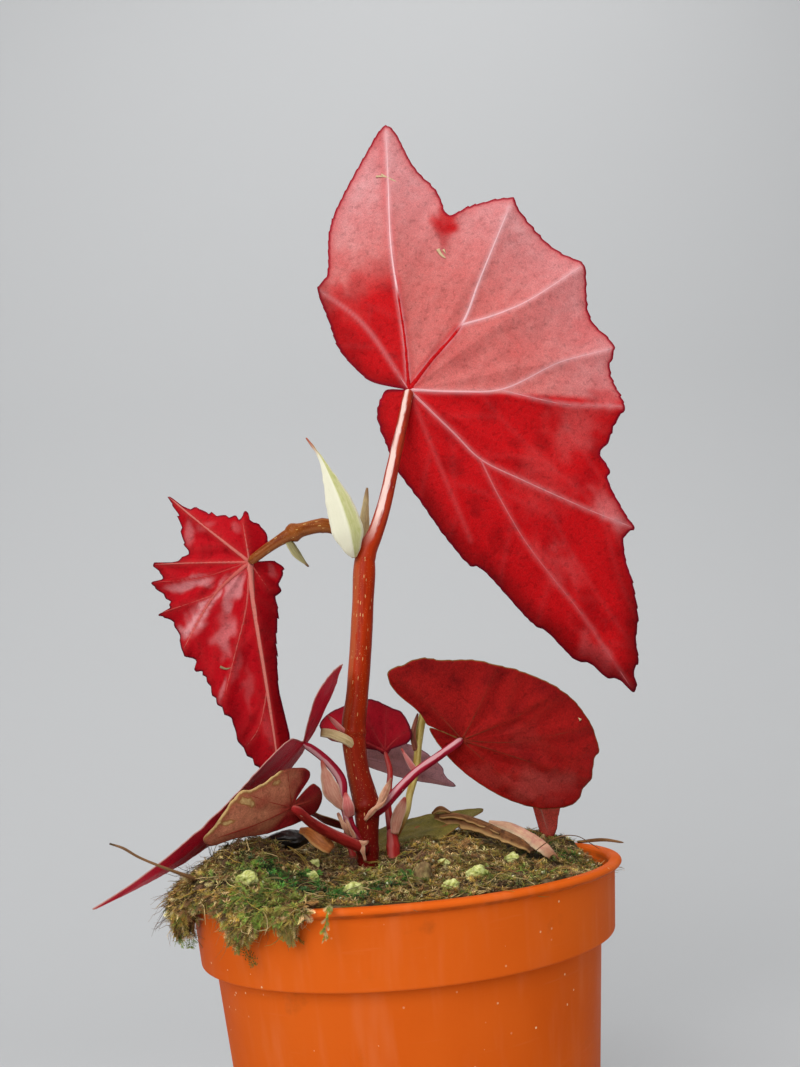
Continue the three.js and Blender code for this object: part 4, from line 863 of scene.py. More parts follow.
driedEdgeLeaf = {
    "at": (-18, -22, 83.9), "along": (-0.71, -0.66, -0.23), "face": (-0.69, 0.62, 0.37), "cup": 0.006,
    "outline": [
        (1, 15.6), (0.1, 15.7), (-0.8, 14.5), (-2.3, 13), (-5.7, 9.2), (-5.4, 7.6), (-5.6, 5.2), (-6.7, 1.3),
        (-6.3, -1), (-5.3, -3.7), (-4.4, -4.5), (-3.5, -4.4), (-2.4, -3.2), (-0.6, -1.1), (-2, -5.2), (-0.7, -6.7),
        (0.5, -7.3), (2.2, -7.2), (3.4, -6.2), (3.6, -4.5), (3.8, -2.1), (3.5, 1.8), (3.1, 5.4), (1.9, 10.3),
        (1.7, 14.6),
    ],
    "ribs": [
        (0.3, [(0, 0), (-3.2, 0.4), (-6.3, 0.4)]), (0.3, [(0, 0), (-2.2, 4), (-4.7, 7.9)]),
        (0.35, [(0, 0), (0.5, 7), (0.6, 14.1)]), (0.3, [(0, 0), (0.4, -3), (0.4, -6.2)]),
    ],
    "teeth": 0.5, "paintedSheenFans": [(-40, 75, 30, 0.85, 0)], "sideShow": 0.1, "veinShow": 0.4, "dryBand": (-38, 40, 0.45),
    "paintedSheenSpots": [(0, 0, 1.6, 2.4, 0, 0.1), (-3, 6, 1, 2, 0, 0.5), (1, 9, 0.8, 2.6, 0, 0.4), (-4, -1, 1, 1.4, 0, 0.4)],
    "drySpots": [(-3.6, 8.6, 0.8, 1.8, -30, 0.75), (-5, 3, 0.6, 1.2, 0, 0.7), (-1.4, 12, 0.5, 1.6, 0, 0.75)],
    "paintedShadeFans": [(150, 45, 3, 0.5), (20, 30, 2, 0.4)],
}
driedEdgeLooks = dict(rightLeafLooks, base="#982024", deep="#6c1218", vein="#8f4a34", paintedHighlight="#bb7c5c", rim="#7c3a2a",
                      dried="#cba870", blotch=0.9)
addLeaf("driedEdgeLeaf", driedEdgeLeaf, 13, driedEdgeLooks, "dark_red_leaf")

smallBackLeaf = {
    "at": (-1.9, 6, 91.5), "along": (-0.65, 0.39, 0.65), "face": (0.45, 0.89, -0.09), "cup": 0.006,
    "outline": [
        (5.5, 17.1), (2.3, 16.5), (-1.6, 13.9), (-3.8, 12.2), (-5.5, 10.4), (-6.3, 9), (-7.6, 4.2), (-8.1, 2),
        (-7, -1.3), (-5.9, -2.7), (-4.3, -2.9), (-1.1, -0.8), (0.5, -0.7), (0.9, 1.4), (2.2, 3.9), (3.7, 7.2),
        (6.1, 11.9), (6.4, 13.8),
    ],
    "ribs": [
        (0.35, [(0, 0), (2, 7), (5.2, 15.6)]), (0.3, [(0, 0), (-2, 6), (-3.4, 11)]),
        (0.3, [(0, 0), (-4, 3), (-6.6, 5)]), (0.3, [(0, 0), (-3, -0.4), (-6, -1.4)]),
    ],
    "veinShow": 0.08, "haloShow": 0.03, "sideShow": 0.0, "teeth": 0.3, "paintedShadeFans": [(180, 200, 3, 0.35)],
}
smallBackLooks = dict(leftLeafLooks, base="#a61222", deep="#7c0a1a", rim="#6e1226", net=0.0)
addLeaf("smallBackLeaf", smallBackLeaf, 17, smallBackLooks, "red_leaf")

behindLeaf = {
    "at": (22.9, 9, 101.9), "along": (0.21, 0.05, -0.98), "face": (0.1, 0.98, 0.15), "cup": 0.004,
    "pleat": 0.03, "veins": [-150, 0, 40, 90, 150],
    "outline": [
        (0.2, 31.5), (-0.9, 30.1), (-0.8, 25.7), (-0.9, 22.6), (-2.4, 17.3), (-5, 12.3), (-7.2, 7.5), (-7.5, 3.1),
        (-6.2, 0.3), (-3.4, -1.5), (-1.9, -2.9), (-0.3, -1.2), (1.3, -3.9), (5.1, -1.9), (8.4, 1.2), (10.3, 5.3),
        (11.2, 10.9), (10.5, 17), (7.8, 22.6), (4.3, 26.6), (1.8, 31.1),
    ],
    "ribs": [
        (0.4, [(0, 0), (0.5, 12), (0.6, 30)]), (0.35, [(0, 0), (5, 8), (8.5, 17)]),
        (0.3, [(0, 0), (5, 2.5), (9.6, 4)]), (0.3, [(0, 0), (-3, 6), (-5, 11)]),
    ],
    "teeth": 0.6,
}
# a lighter copy of the right leaf's colours: the bright salmon base is painted light, standing in for light shining
# through this shaded leaf
behindLooks = dict(rightLeafLooks, base="#e0584c", deep="#b8403a", vein="#d88a7c", rim="#a03a3a", net=0.0)
addLeaf("behindLeaf", behindLeaf, 19, behindLooks, "dark_red_leaf")

greyBackLeaf = {
    "at": (-7, 18, 90.9), "along": (0.89, 0.16, -0.43), "face": (0.03, 0.91, 0.41), "cup": 0.006,
    "outline": [
        (0.8, -2), (2.6, -1.6), (4.6, -0.4), (5.7, 2.1), (6, 6.1), (6, 10.3), (5.6, 12.6), (3.6, 17.1), (1.9, 18.7),
        (0.3, 22), (-0.6, 16.6), (-1.4, 11.1), (-1.7, 5.7), (-1.7, 1), (-1.2, -1.2), (-0.2, -0.7),
    ],
    "ribs": [
        (0.35, [(0, 0), (0.8, 10), (0.5, 20.6)]), (0.3, [(0, 0), (2.6, 5.5), (4.6, 12)]),
        (0.25, [(0, 0), (2.6, 1.5), (5, 3.4)]),
    ],
    "teeth": 0.5, "veinShow": 0.3, "haloShow": 0.1, "sideShow": 0.0,
}
# the pale grey-pink base is painted reflection: the sheen of the soft light on this leaf's glossy surface
greyLooks = dict(rightLeafLooks, base="#e0a4ae", deep="#b87a86", vein="#b78388", rim="#8e5464", grain=0.3)
addLeaf("greyBackLeaf", greyBackLeaf, 23, greyLooks, "purple_grey_leaf")

oldLeaf = {
    "at": (-6.5, 9, 73.4), "along": (0.94, 0.28, 0.17), "face": (-0.08, -0.4, 0.91), "cup": 0.0005,
    "outline": [
        (0, 25.5), (-2.5, 21), (-4.5, 16), (-5.5, 10), (-5, 4), (-3.5, -1), (-1.5, -3), (0, -0.8), (2, -4), (6, -2),
        (8, 3), (7.5, 9), (5, 15), (2.5, 20),
    ],
    "ribs": [
        (0.4, [(0, 0), (0.4, 12), (0.1, 24.5)]), (0.35, [(0, 0), (3.4, 6), (5.4, 12)]),
        (0.3, [(0, 0), (4, 1.4), (7, 3)]), (0.3, [(0, 0), (-2.6, 6), (-4.4, 12)]),
    ],
    "teeth": 0.7,
    "drySpots": [
        (3, 7, 0.5, 0.9, 0, 0.9), (-1.6, 11, 0.4, 0.6, 0, 0.9), (4.2, 3, 0.5, 0.7, 0, 0.9), (1, 16, 0.4, 1, 0, 0.8),
    ],
}
oldLooks = dict(rightLeafLooks, base="#8d4a3c", deep="#6b3a2a", vein="#b39a62", rim="#8e6a3c",
                upper="#7b6e34", upperDeep="#5f5a2a", dried="#8f3a3a")
addLeaf("oldLeaf", oldLeaf, 29, oldLooks, "olive_leaf")

lowLeaf = {
    "at": (-11, 8, 77.4), "along": (-0.9, 0.12, 0.34), "face": (0.35, 0.3, 0.88), "cup": 0.01,
    "outline": [
        (0, 8.6), (-2, 6.8), (-3, 4), (-2.8, 1), (-1.6, -1.2), (0, -0.7), (1.6, -1.2), (2.8, 1), (3, 4), (2, 6.8),
    ],
    "ribs": [(0.25, [(0, 0), (0, 4), (0, 8)]), (0.2, [(0, 0), (1.2, 2.6), (2.3, 4.6)]),
             (0.2, [(0, 0), (-1.2, 2.6), (-2.3, 4.6)])],
    "teeth": 0.4,
}
addLeaf("lowLeaf", lowLeaf, 31, dict(rightLeafLooks, base="#7a141c"), "dark_red_leaf")

print("begonia: stems and petioles")
# what a stem's own dictionary may leave out
stemUsual = {
    "step": 0.6, "sides": 20, "seed": 1, "lumpy": 0.05, "channel": 0, "facing": (0, -1, 0.05), "scars": [],
}


# skin of stems: long streaks, pale lengthwise pores, a darker foot, and a painted highlight band down the side that
# faces the light
def makeStemGroup():
    given = startGroup("stemSkin", {
        "place": (0, 0, 0), "share": 0.5, "pores": 0.2, "base": "#ab2f08", "streak": "#992606", "pore": "#dba56c",
        "foot": "#640c0a", "footShare": 0.2, "paintedHighlight": "#e0a898", "highlightSide": (0, 1, 0), "highlightShare": 0.0,
    })
    place = given["place"]
    streak = spread(noiseAt(stretched(place, (1, 1, 0.16)), 1.3, detail=4.0), 0.38, 0.66)
    whole = mixed(streak, given["base"], given["streak"])
    foot = spread(maths("DIVIDE", given["share"], given["footShare"]), 0.2, 1.0, 1.0, 0.0)
    whole = mixed(foot, whole, given["foot"])
    # painted highlight: a paler band down the side of the stem that faces the given side direction
    flat = vectorMaths("NORMALIZE", vectorMaths("MULTIPLY", place, (1, 1, 0)))
    facing = vectorMaths("DOT_PRODUCT", flat, given["highlightSide"], "Value")
    paintedHighlight = times(spread(plus(facing, times(streak, 0.12)), 0.87, 1.03), given["highlightShare"])
    whole = mixed(times(paintedHighlight, maths("SUBTRACT", 1.0, foot)), whole, given["paintedHighlight"])
    pores = specks(stretched(place, (1, 1, 0.24)), 1.9, 0.17, given["pores"])
    pores = maths("MAXIMUM", pores, times(specks(place, 3.6, 0.2, given["pores"]), 0.55))
    whole = mixed(times(pores, 0.8), whole, given["pore"])
    fine = noiseAt(place, 4.0)
    height = plus(plus(times(streak, 0.4), times(fine, 0.25)), times(pores, 0.7))
    return finishGroup({
        "Base Color": whole, "Normal": bumpFrom(height, 0.6, 0.00012), "Roughness": spread(fine, 0.3, 0.7, 0.3, 0.45),
    })


# a round stem, with rings at its nodes and an optional channel along it
def modelStem(stem):
    stem = {**stemUsual, **stem}
    line = curveThrough(stem["path"], stem["step"])
    for place, swell, wide in stem["scars"]:
        away = np.linalg.norm(line[:, :3] - np.array(place), axis=1)
        line[:, 3] += swell * np.exp(-((away / wide) ** 2))
    turns = np.arange(stem["sides"]) / stem["sides"] * fullTurn
    line[-2:, 3] *= (0.85, 0.5)
    lumps = wobble(line[:, :3], 5.0, stem["seed"]) * stem["lumpy"]

    def section(share, radius):
        dent = stem["channel"] * np.exp(-(((turns - math.pi / 2) / 0.42) ** 2))
        size = radius * (1 - dent + lumps[int(share * (len(lumps) - 1))])
        return np.column_stack([size * np.cos(turns), size * np.sin(turns)])

    return loft(line, stem["facing"], section)


def addStem(name, node, skin, slot, stem):
    sketches = [modelStem(part) for part in (stem, *stem.get("branches", []))]
    settle(addPiece(name, joined(sketches)), [node], slot, skin)


caneLooks = {
    "base": "#ab2f08", "streak": "#992606", "pore": "#dba56c", "foot": "#640c0a", "footShare": 0.72, "pores": 0.42,
    "paintedHighlight": "#d08a5c", "highlightSide": (-0.8, 0.6, 0), "highlightShare": 0.25,
}
petioleLooks = {
    "base": "#ae2e2a", "streak": "#8c1a1c", "pore": "#d99a7e", "foot": "#7c1418", "footShare": 0.15, "pores": 0.08,
    "paintedHighlight": "#cf8078", "highlightSide": (-0.4, 0.92, 0), "highlightShare": 0.35,
}
stemLooks = {
    "caneBark": caneLooks, "petioleSkin": petioleLooks,
    "crimsonSkin": {**petioleLooks, "base": "#a61c34", "streak": "#841226", "paintedHighlight": "#e4b2b6", "highlightShare": 0.7},
    "rosySkin": {**petioleLooks, "base": "#a8381c", "streak": "#8a1f18", "paintedHighlight": "#ecc8bd", "foot": "#ab2f08",
                 "footShare": 0.3, "highlightSide": (-0.35, 0.94, 0), "highlightShare": 1.0},
    "kneeSkin": {**caneLooks, "base": "#93501f", "streak": "#743310", "foot": "#7c2c12", "pore": "#dcb46e",
                 "footShare": 0.1, "pores": 0.65},
    "twigSkin": {"base": "#835f3e", "streak": "#5c4028", "pore": "#a08a60", "foot": "#4a3a26", "footShare": 0.1,
                 "pores": 0.1},
    "yellowSkin": {"base": "#c6b26c", "streak": "#a0843f", "pore": "#e2d3a0", "foot": "#8d5a30", "footShare": 0.12,
                   "pores": 0.2},
}
stemGroup = makeStemGroup()
stemSkins = {}
for name, looks in stemLooks.items():
    shine = {"Specular IOR Level": 0.3 if name == "rosySkin" else 0.2, "IOR": 1.3}
    stemSkins[name] = skinMaterial(name, stemGroup, ["share"], looks, shine)


# one thick root that leaves the cane's buried end, down and outwards
def rootPath(index, degrees, start):
    turn = math.radians(degrees)
    rows = [(0, -2.5, 1), (4, 1, 0.9), (8.5, 5, 0.7), (11, 11 + index, 0.5)]
    x, y, z, _ = start
    return [(x + out * math.cos(turn), y + out * math.sin(turn), z - drop, radius) for out, drop, radius in rows]


mainStem = {
    "path": [
        (-6.8, -2.8, 59.5, 1.9), (-6.7, -3.1, 67, 2.1), (-6.5, -3.4, 72.4, 2.1), (-6.2, -3.6, 77.6, 2.1),
        (-6.1, -3.8, 82.1, 2.45), (-7.2, -4, 88.5, 2.1), (-7.5, -4, 95.9, 2.35), (-6.5, -3.6, 101.6, 2.2),
        (-5.1, -3, 111.2, 2.2), (-3.9, -2.4, 121.2, 2.2), (-3.1, -2, 128.4, 2.2), (-2.9, -2, 130.2, 1.9),
        (-2.8, -2, 131.4, 1.2),
    ],
    "scars": [
        ((-6.1, -3.8, 82.1), 0.25, 0.7), ((-6.1, -3.8, 80.9), -0.16, 0.4), ((-7.4, -4, 95.4), 0.22, 0.6),
        ((-7.4, -4, 94.3), -0.14, 0.4), ((-6.5, -3.4, 74.2), 0.16, 0.5),
    ],
    "sides": 32, "step": 0.35, "seed": 2,
}
mainStem["branches"] = [
    {"path": rootPath(index, degrees, mainStem["path"][0]), "sides": 10, "facing": (0.1, 0.2, 1)}
    for index, degrees in enumerate((20, 95, 160, 235, 300))
]
addStem("mainCane", "main_stem", stemSkins["caneBark"], "stem", mainStem)
addStem("sideShoot", "side_shoot", stemSkins["petioleSkin"], "stem", {
    "path": [(-2.1, 0, 62, 1.0), (-1.8, 0, 69.8, 1.3), (-1.7, 0.5, 75.1, 1.15), (-1.8, 1, 77.4, 0.95)],
    "scars": [((-1.7, 0.4, 74), 0.2, 0.5)],
})
addStem("leftBranch", "left_branch", stemSkins["kneeSkin"], "stem", {
    "path": [
        (-3.6, -2.2, 131.2, 1.6), (-6.6, -2.5, 135.5, 1.45), (-10.5, -3.3, 137, 1.4),
        (-14.6, -4, 136.4, 1.4), (-17.2, -4.5, 135.6, 1.5), (-18.6, -4.7, 135, 1.3),
    ],
    "scars": [((-16.8, -4.4, 135.7), 0.42, 0.9), ((-11, -3.4, 137), 0.1, 0.5), ((-8, -2.8, 136.2), 0.08, 0.5)],
    "lumpy": 0.16,
})

petioles = {  # CAD node, skin, slot, own settings, and rows of x, y, z and radius
    "topPetiole": ("top_leaf_petiole", "rosySkin", "petiole", {"channel": 0.06, "sides": 32, "step": 0.4}, [
        (-3.1, -2, 128, 1.7), (-2.95, -2, 129.4, 2.14), (-2.4, -2, 131.4, 2.1), (-0.6, -1.7, 134.6, 1.65),
        (1.9, -0.5, 141.2, 1.48), (4.2, 1, 149.3, 1.36), (6.9, 3, 159, 1.24), (8.7, 4.1, 165.6, 1.16),
        (9.6, 4.8, 169, 1.1),
    ]),
    "leftPetiole": ("left_leaf_petiole", "kneeSkin", "stem", {}, [
        (-16.6, -4.5, 135.8, 1.3), (-18, -4.7, 135.1, 1.35), (-19.6, -4.8, 134.3, 1.15), (-22.6, -4.9, 132.5, 1.0),
        (-24.8, -4.9, 131, 0.95), (-26, -4.2, 130.4, 0.85),
    ]),
    "rightPetiole": ("right_leaf_petiole", "crimsonSkin", "petiole", {}, [
        (-5.2, -4.6, 80.6, 1.25), (-2.8, -5.4, 81.9, 1.1), (-0.9, -6, 83.5, 0.95), (3.4, -7.2, 87.1, 0.82),
        (7.7, -8.6, 89.6, 0.78), (10.8, -9.3, 91.4, 0.75), (12.6, -8.2, 92.4, 0.8),
    ]),
    "edgeOnPetiole": ("edge_on_leaf_petiole", "crimsonSkin", "petiole", {}, [
        (-7.2, -4.4, 75.4, 1.0), (-9.1, -5, 78.3, 0.95), (-9.7, -5.6, 81.2, 0.9), (-10.2, -6.2, 84, 0.9),
        (-10.2, -6.9, 86.9, 0.9), (-12.1, -8, 90.1, 0.8), (-14.6, -9, 92.6, 0.75), (-16.6, -10, 94.1, 0.65),
    ]),
    "driedEdgePetiole": ("dried_edge_leaf_petiole", "petioleSkin", "petiole", {"facing": (0, -0.3, 1)}, [
        (-6.8, -5.4, 74.4, 1.0), (-9.6, -9, 76.4, 1.0), (-12.5, -12.6, 78.4, 0.95), (-15.3, -17.5, 80.9, 0.85),
        (-17, -21.2, 83.1, 0.75), (-18, -22, 83.8, 0.65),
    ]),
    "smallBackPetiole": ("small_back_leaf_petiole", "petioleSkin", "petiole", {}, [
        (-1.8, 1, 76.6, 0.9), (-2.1, 2, 80.9, 0.65), (-1.6, 3.2, 84.9, 0.6), (-1.2, 4.2, 87.6, 0.6),
        (-1.9, 5.9, 91.4, 0.5),
    ]),
    "yellowPetiole": ("behind_leaf_petiole", "yellowSkin", "old_petiole",
        {"lumpy": 0.12, "scars": [((4, 5, 87.6), 0.12, 0.6)]}, [
            (-1.4, 0.8, 75.6, 0.85), (1.3, 2.5, 79.8, 0.75), (2.3, 3.6, 83, 0.75), (4, 5, 87.6, 0.8),
            (5, 6.2, 92.8, 0.8), (6.4, 6.9, 97.9, 0.85), (8.6, 7.5, 100.9, 0.85), (12.4, 7.8, 102.6, 0.85),
            (17.7, 8.1, 102.9, 0.8), (22.9, 8.9, 101.9, 0.7),
        ]),
    "greyBackPetiole": ("grey_back_leaf_petiole", "petioleSkin", "petiole", {}, [
        (-7.2, 4.6, 66, 1.0), (-7.1, 5.2, 71, 1.0), (-7, 6.6, 76, 0.95), (-7.6, 9.6, 80.6, 0.9),
        (-8.2, 13.6, 86, 0.85), (-7, 17.9, 90.8, 0.7),
    ]),
    "oldPetiole": ("old_leaf_petiole", "yellowSkin", "old_petiole", {}, [
        (-3.8, 4.2, 67.4, 0.9), (-4.6, 6, 70, 0.85), (-5.8, 8, 72, 0.8), (-6.5, 9, 73.3, 0.65),
    ]),
    "lowPetiole": ("low_leaf_petiole", "petioleSkin", "petiole", {}, [
        (-9, 2.6, 68, 0.8), (-9.6, 4.6, 72.4, 0.7), (-10.6, 7, 75.8, 0.6), (-11, 8, 77.3, 0.5),
    ]),
}
for index, (name, (node, skin, slot, own, path)) in enumerate(petioles.items()):
    addStem(name, node, stemSkins[skin], slot, {**own, "path": path, "seed": 10 + index})

print("begonia: stipules and dry bits")
# what a slip's own dictionary may leave out
slipUsual = {
    "facing": (0, -1, 0), "thick": 0.16, "keel": 0.5, "crown": 1.4, "ragged": 0.12, "step": 0.35, "across": 11,
}


# skin of papery bits: fine lengthwise fibres, paler edges, brown tips, and one half painted lighter as the lit side of
# a fold
def makePaperGroup():
    given = startGroup("paperySkin", {
        "place": (0, 0, 0), "share": 0.5, "edge": 0.5, "base": "#e2ca98", "shade": "#b2925e", "fringe": "#f0dcb0",
        "tip": "#9a7a50", "tipShare": 0.8, "left": "#e2ca98", "leftShare": 0.0, "keel": 0.1,
    })
    fibres = noiseAt(stretched(given["place"], (1, 1, 0.1)), 3.2, 4.0, 0.7)
    patches = noiseAt(given["place"], 0.5, detail=4.0)
    whole = mixed(spread(fibres, 0.3, 0.8), given["base"], given["shade"])
    whole = mixed(spread(patches, 0.45, 0.75), whole, given["shade"])
    # painted light: one half of the slip, on one side of its middle line, is mixed towards a lighter colour as its lit
    # side
    left = times(spread(given["edge"], -0.06, 0.06, 1.0, 0.0), given["leftShare"])
    whole = mixed(left, whole, given["left"])
    out = maths("ABSOLUTE", given["edge"])
    keel = times(spread(out, 0.02, 0.14, 1.0, 0.0), given["keel"])
    fringe = spread(plus(out, times(fibres, 0.3)), 0.85, 1.2)
    whole = mixed(maths("MAXIMUM", keel, fringe), whole, given["fringe"])
    whole = mixed(spread(maths("SUBTRACT", given["share"], given["tipShare"]), -0.08, 0.12), whole, given["tip"])
    return finishGroup({"Base Color": whole, "Normal": bumpFrom(fibres, 0.7, 0.00012)})


# a thin slip that tapers to its tip: keel lifts its middle line, ragged frays its edges
def modelSlip(path, slip, seed):
    slip = {**slipUsual, **slip}
    line = curveThrough(path, slip["step"])
    shakes = wobble(line[:, :3], 1.8, seed) * slip["ragged"]
    across = np.linspace(-1, 1, slip["across"])
    thick, rows = slip["thick"], len(line)

    def section(share, half):
        wide = half * (1 + shakes[int(round(share * (rows - 1)))] / max(half, 0.4))
        rise = slip["keel"] * half * (1 - np.abs(across) ** slip["crown"])
        front = np.column_stack([across * wide, rise + thick / 2])
        back = np.column_stack([across * wide, rise - thick / 2 * (1.2 - np.abs(across))])[::-1]
        return np.vstack([front, back])

    body = loft(line, slip["facing"], section)
    body["marks"]["edge"] = np.tile(np.concatenate([across, across[::-1]]), rows)
    return body


paperLooks = {  # base, shade, fringe and tip colours, where the tip starts, roughness
    "tipStipulePaper": ("#d2d09a", "#bcbf78", "#ece8d0", "#a8553a", 0.86, 0.6),
    "olivePaper": ("#8f8658", "#6c6440", "#b0a678", "#6a4a2c", 0.85, 0.6),
    "tanPaper": ("#bfa878", "#94805a", "#d8c8a0", "#8a6a48", 0.85, 0.6),
    "dryPaper": ("#cf9e80", "#a8664c", "#e2c4a0", "#94604a", 0.85, 0.6),
    "umberPaper": ("#8f4e3a", "#5f2c22", "#b08a5c", "#5c2a20", 0.85, 0.6),
    "rosePaper": ("#e08c86", "#cf5f5c", "#f0c0b4", "#b84a44", 0.85, 0.6),
    "beigePaper": ("#e2ca98", "#b2925e", "#f0dcb0", "#9a7a50", 0.95, 0.6),
    "pinkPaper": ("#dba48c", "#c0705e", "#ecccb0", "#b04e42", 0.85, 0.6),
    "creamPinkPaper": ("#e2bb94", "#cf8a7a", "#ecd2ac", "#9a6a4c", 0.9, 0.6),
    "barkPaper": ("#8b5a33", "#432716", "#cfa56c", "#3e2818", 0.97, 0.7),
    "orangePaper": ("#c2743a", "#8a4a22", "#d9a468", "#6b3a1e", 0.95, 0.45),
}
paperGroup = makePaperGroup()
papers = {}
for name, (base, shade, fringe, tip, tipShare, rough) in paperLooks.items():
    looks = {"base": base, "shade": shade, "fringe": fringe, "tip": tip, "tipShare": tipShare, "left": base}
    if name == "tipStipulePaper":
        # the tip stipule's one half gets a paler colour, painted as its lit side
        looks.update(left="#e6e2cc", leftShare=0.85, keel=0.6)
    shine = {"Roughness": rough, "Specular IOR Level": 0.25}
    papers[name] = skinMaterial(name, paperGroup, ["share", "edge"], looks, shine)

slips = {  # paper, slot, own settings, and rows of x, y, z and half width
    "tipStipule": ("tipStipulePaper", "stipule",
        {"facing": (0.1, -1, 0.15), "keel": 0.6, "thick": 0.2, "crown": 1.0, "ragged": 0.2}, [
            (-5, -4.6, 129.5, 0.5), (-5.3, -5.4, 131.4, 1.9), (-5.8, -5.9, 134.4, 3.1), (-6.7, -6.2, 138.6, 3),
            (-8, -6.3, 143.4, 2.1), (-9.1, -6.2, 147, 1.2), (-10.2, -6, 150.2, 0.5), (-11.2, -5.9, 152.2, 0.26),
            (-12.2, -5.8, 153.9, 0.26), (-13.1, -5.6, 155.4, 0.16),
        ]),
    "narrowStipule": ("tanPaper", "stipule", {"facing": (0.2, -1, 0)}, [
        (-3.4, 0.4, 131.6, 1), (-3, 1.6, 135.1, 1.4), (-2.3, 1.9, 140.4, 0.9), (-1.4, 1.8, 146, 0.2),
    ]),
    "kneeStipule": ("olivePaper", "dry_leaf", {"facing": (0.5, -0.8, 0.3), "ragged": 0.3}, [
        (-18.2, -4.4, 134.4, 0.7), (-17.4, -4.6, 132.9, 1.1), (-16.3, -4.8, 130.9, 0.9), (-14.2, -5, 128.3, 0.2),
    ]),
    "nodeStub": ("beigePaper", "dry_leaf", {"facing": (0.1, -1, 0.3), "thick": 0.9, "keel": 0.4}, [
        (-7.9, -5.6, 93.3, 0.8), (-9.4, -7.2, 94.4, 0.9), (-11.6, -8, 95.4, 0.85), (-13.4, -8.6, 95.8, 0.7),
    ]),
    "leftSpike": ("rosePaper", "pink_stipule", {}, [
        (-8.6, -4.8, 94.9, 0.6), (-10.2, -6.4, 96.8, 0.5), (-12.1, -7, 99, 0.15),
    ]),
    "rightSpike": ("rosePaper", "pink_stipule", {}, [
        (3.9, 4.3, 87, 0.55), (2.5, 3.4, 89.5, 0.5), (1.4, 2.8, 91.8, 0.15),
    ]),
    "petioleSheath": ("dryPaper", "dry_leaf", {"facing": (0.2, -1, 0.2), "ragged": 0.25}, [
        (-6.4, -6.4, 79.6, 0.3), (-5, -7.2, 81, 0.6), (-3.8, -7.6, 82, 0.5), (-2.4, -8, 84.1, 0.65),
        (-1, -8.2, 86.7, 0.15),
    ]),
    "leftStipule": ("pinkPaper", "pink_stipule", {"facing": (0.2, -1, 0.1), "ragged": 0.25}, [
        (-10.3, -6.8, 82, 0.5), (-12, -8, 85.1, 1.5), (-12.9, -8.6, 88.2, 1), (-13.5, -9, 90.9, 0.2),
    ]),
    "pinkStipule": ("rosePaper", "pink_stipule", {}, [
        (-9.2, -6, 80.6, 0.9), (-9.3, -7.4, 82.6, 1.1), (-9.6, -7.8, 84.8, 0.2),
    ]),
    "sideShootStipule": ("pinkPaper", "pink_stipule", {}, [
        (-1.2, -0.8, 76.4, 0.8), (-0.5, -1.6, 79.1, 1.1), (0.4, -1.9, 80.9, 1), (1.3, -2, 82.8, 0.2),
    ]),
    "drySheath": ("dryPaper", "dry_leaf", {"ragged": 0.4}, [
        (-9, -6.2, 77.2, 0.3), (-10.2, -7.6, 79, 0.5), (-11.2, -8, 81.4, 0.15),
    ]),
    "baseSheath": ("dryPaper", "dry_leaf", {"facing": (0, -1, 0.2), "ragged": 0.4}, [
        (-6.8, -7, 72.7, 0.15), (-7.1, -7.4, 74.2, 0.4), (-7.4, -7.4, 75.6, 0.35),
    ]),
    "brownStipule": ("umberPaper", "dry_leaf", {}, [(4.2, 5.4, 91.2, 0.5), (4, 5, 94.5, 0.6), (5.3, 5.4, 98.4, 0.15)]),
    "brownCurl": ("barkPaper", "dry_leaf",
        {"facing": (0.1, -0.5, 0.85), "thick": 0.5, "keel": 1.2, "ragged": 0.5, "crown": 1.6}, [
            (7.4, 16, 77, 0.8), (11.2, 14, 76.2, 1.6), (15.4, 10, 75, 1.6), (18.9, 4.4, 73.7, 1.3),
            (22.1, 0, 72.3, 1.1), (23.9, -4.6, 71.2, 0.5),
        ]),
    "pinkStrip": ("creamPinkPaper", "pink_stipule",
        {"facing": (0.2, -0.6, 0.8), "thick": 0.35, "ragged": 0.5, "keel": 0.9, "crown": 2.4}, [
            (18.2, 12, 75.6, 0.5), (21.4, 9, 74.6, 1.2), (24.2, 2.5, 73, 1.4), (25.7, -5, 71.6, 1.5),
            (26.4, -11.4, 70.6, 1.0),
        ]),
    "orangeCurl": ("orangePaper", "dry_leaf", {"facing": (0.3, -0.8, 0.4), "keel": 0.8, "ragged": 0.3}, [
        (-17.9, -8, 78.9, 0.7), (-15.9, -10, 78.4, 1.4), (-14.1, -11.2, 77, 1.6), (-12.3, -11.8, 75.4, 0.7),
    ]),
}
# torn strips beside a slip
shreds = {
    "petioleSheath": [[(-4.2, -7.8, 81.4, 0.3), (-2.6, -8.4, 82.6, 0.3), (-1.8, -8.6, 83.8, 0.1)]],
    "drySheath": [[(-8.4, -6.8, 76.6, 0.2), (-9.2, -7.6, 78.6, 0.35), (-10, -8, 80.6, 0.12)]],
    "baseSheath": [
        [(-8.8, -7, 75.2, 0.15), (-8, -7.4, 75.9, 0.45), (-6.8, -7.4, 75.7, 0.4), (-6, -7, 76, 0.12)],
        [(-8.4, -7.2, 75.7, 0.3), (-8.6, -7.6, 74.4, 0.12)],
    ],
    "brownCurl": [
        [(8.2, 13.6, 77.4, 0.2), (12, 11.6, 77.2, 0.5), (16, 7.6, 75.6, 0.45), (19, 2.6, 74.2, 0.15)],
        [(7, 15.2, 78, 0.3), (8.6, 14.4, 78.8, 0.6), (10.6, 13.4, 78, 0.2)],
    ],
}
for index, (name, (paper, slot, own, path)) in enumerate(slips.items()):
    sketches = [modelSlip(path, own, index)] + [modelSlip(shred, own, 30 + index) for shred in shreds.get(name, [])]
    settle(addPiece(name, joined(sketches)), [cadName(name)], slot, papers[paper])

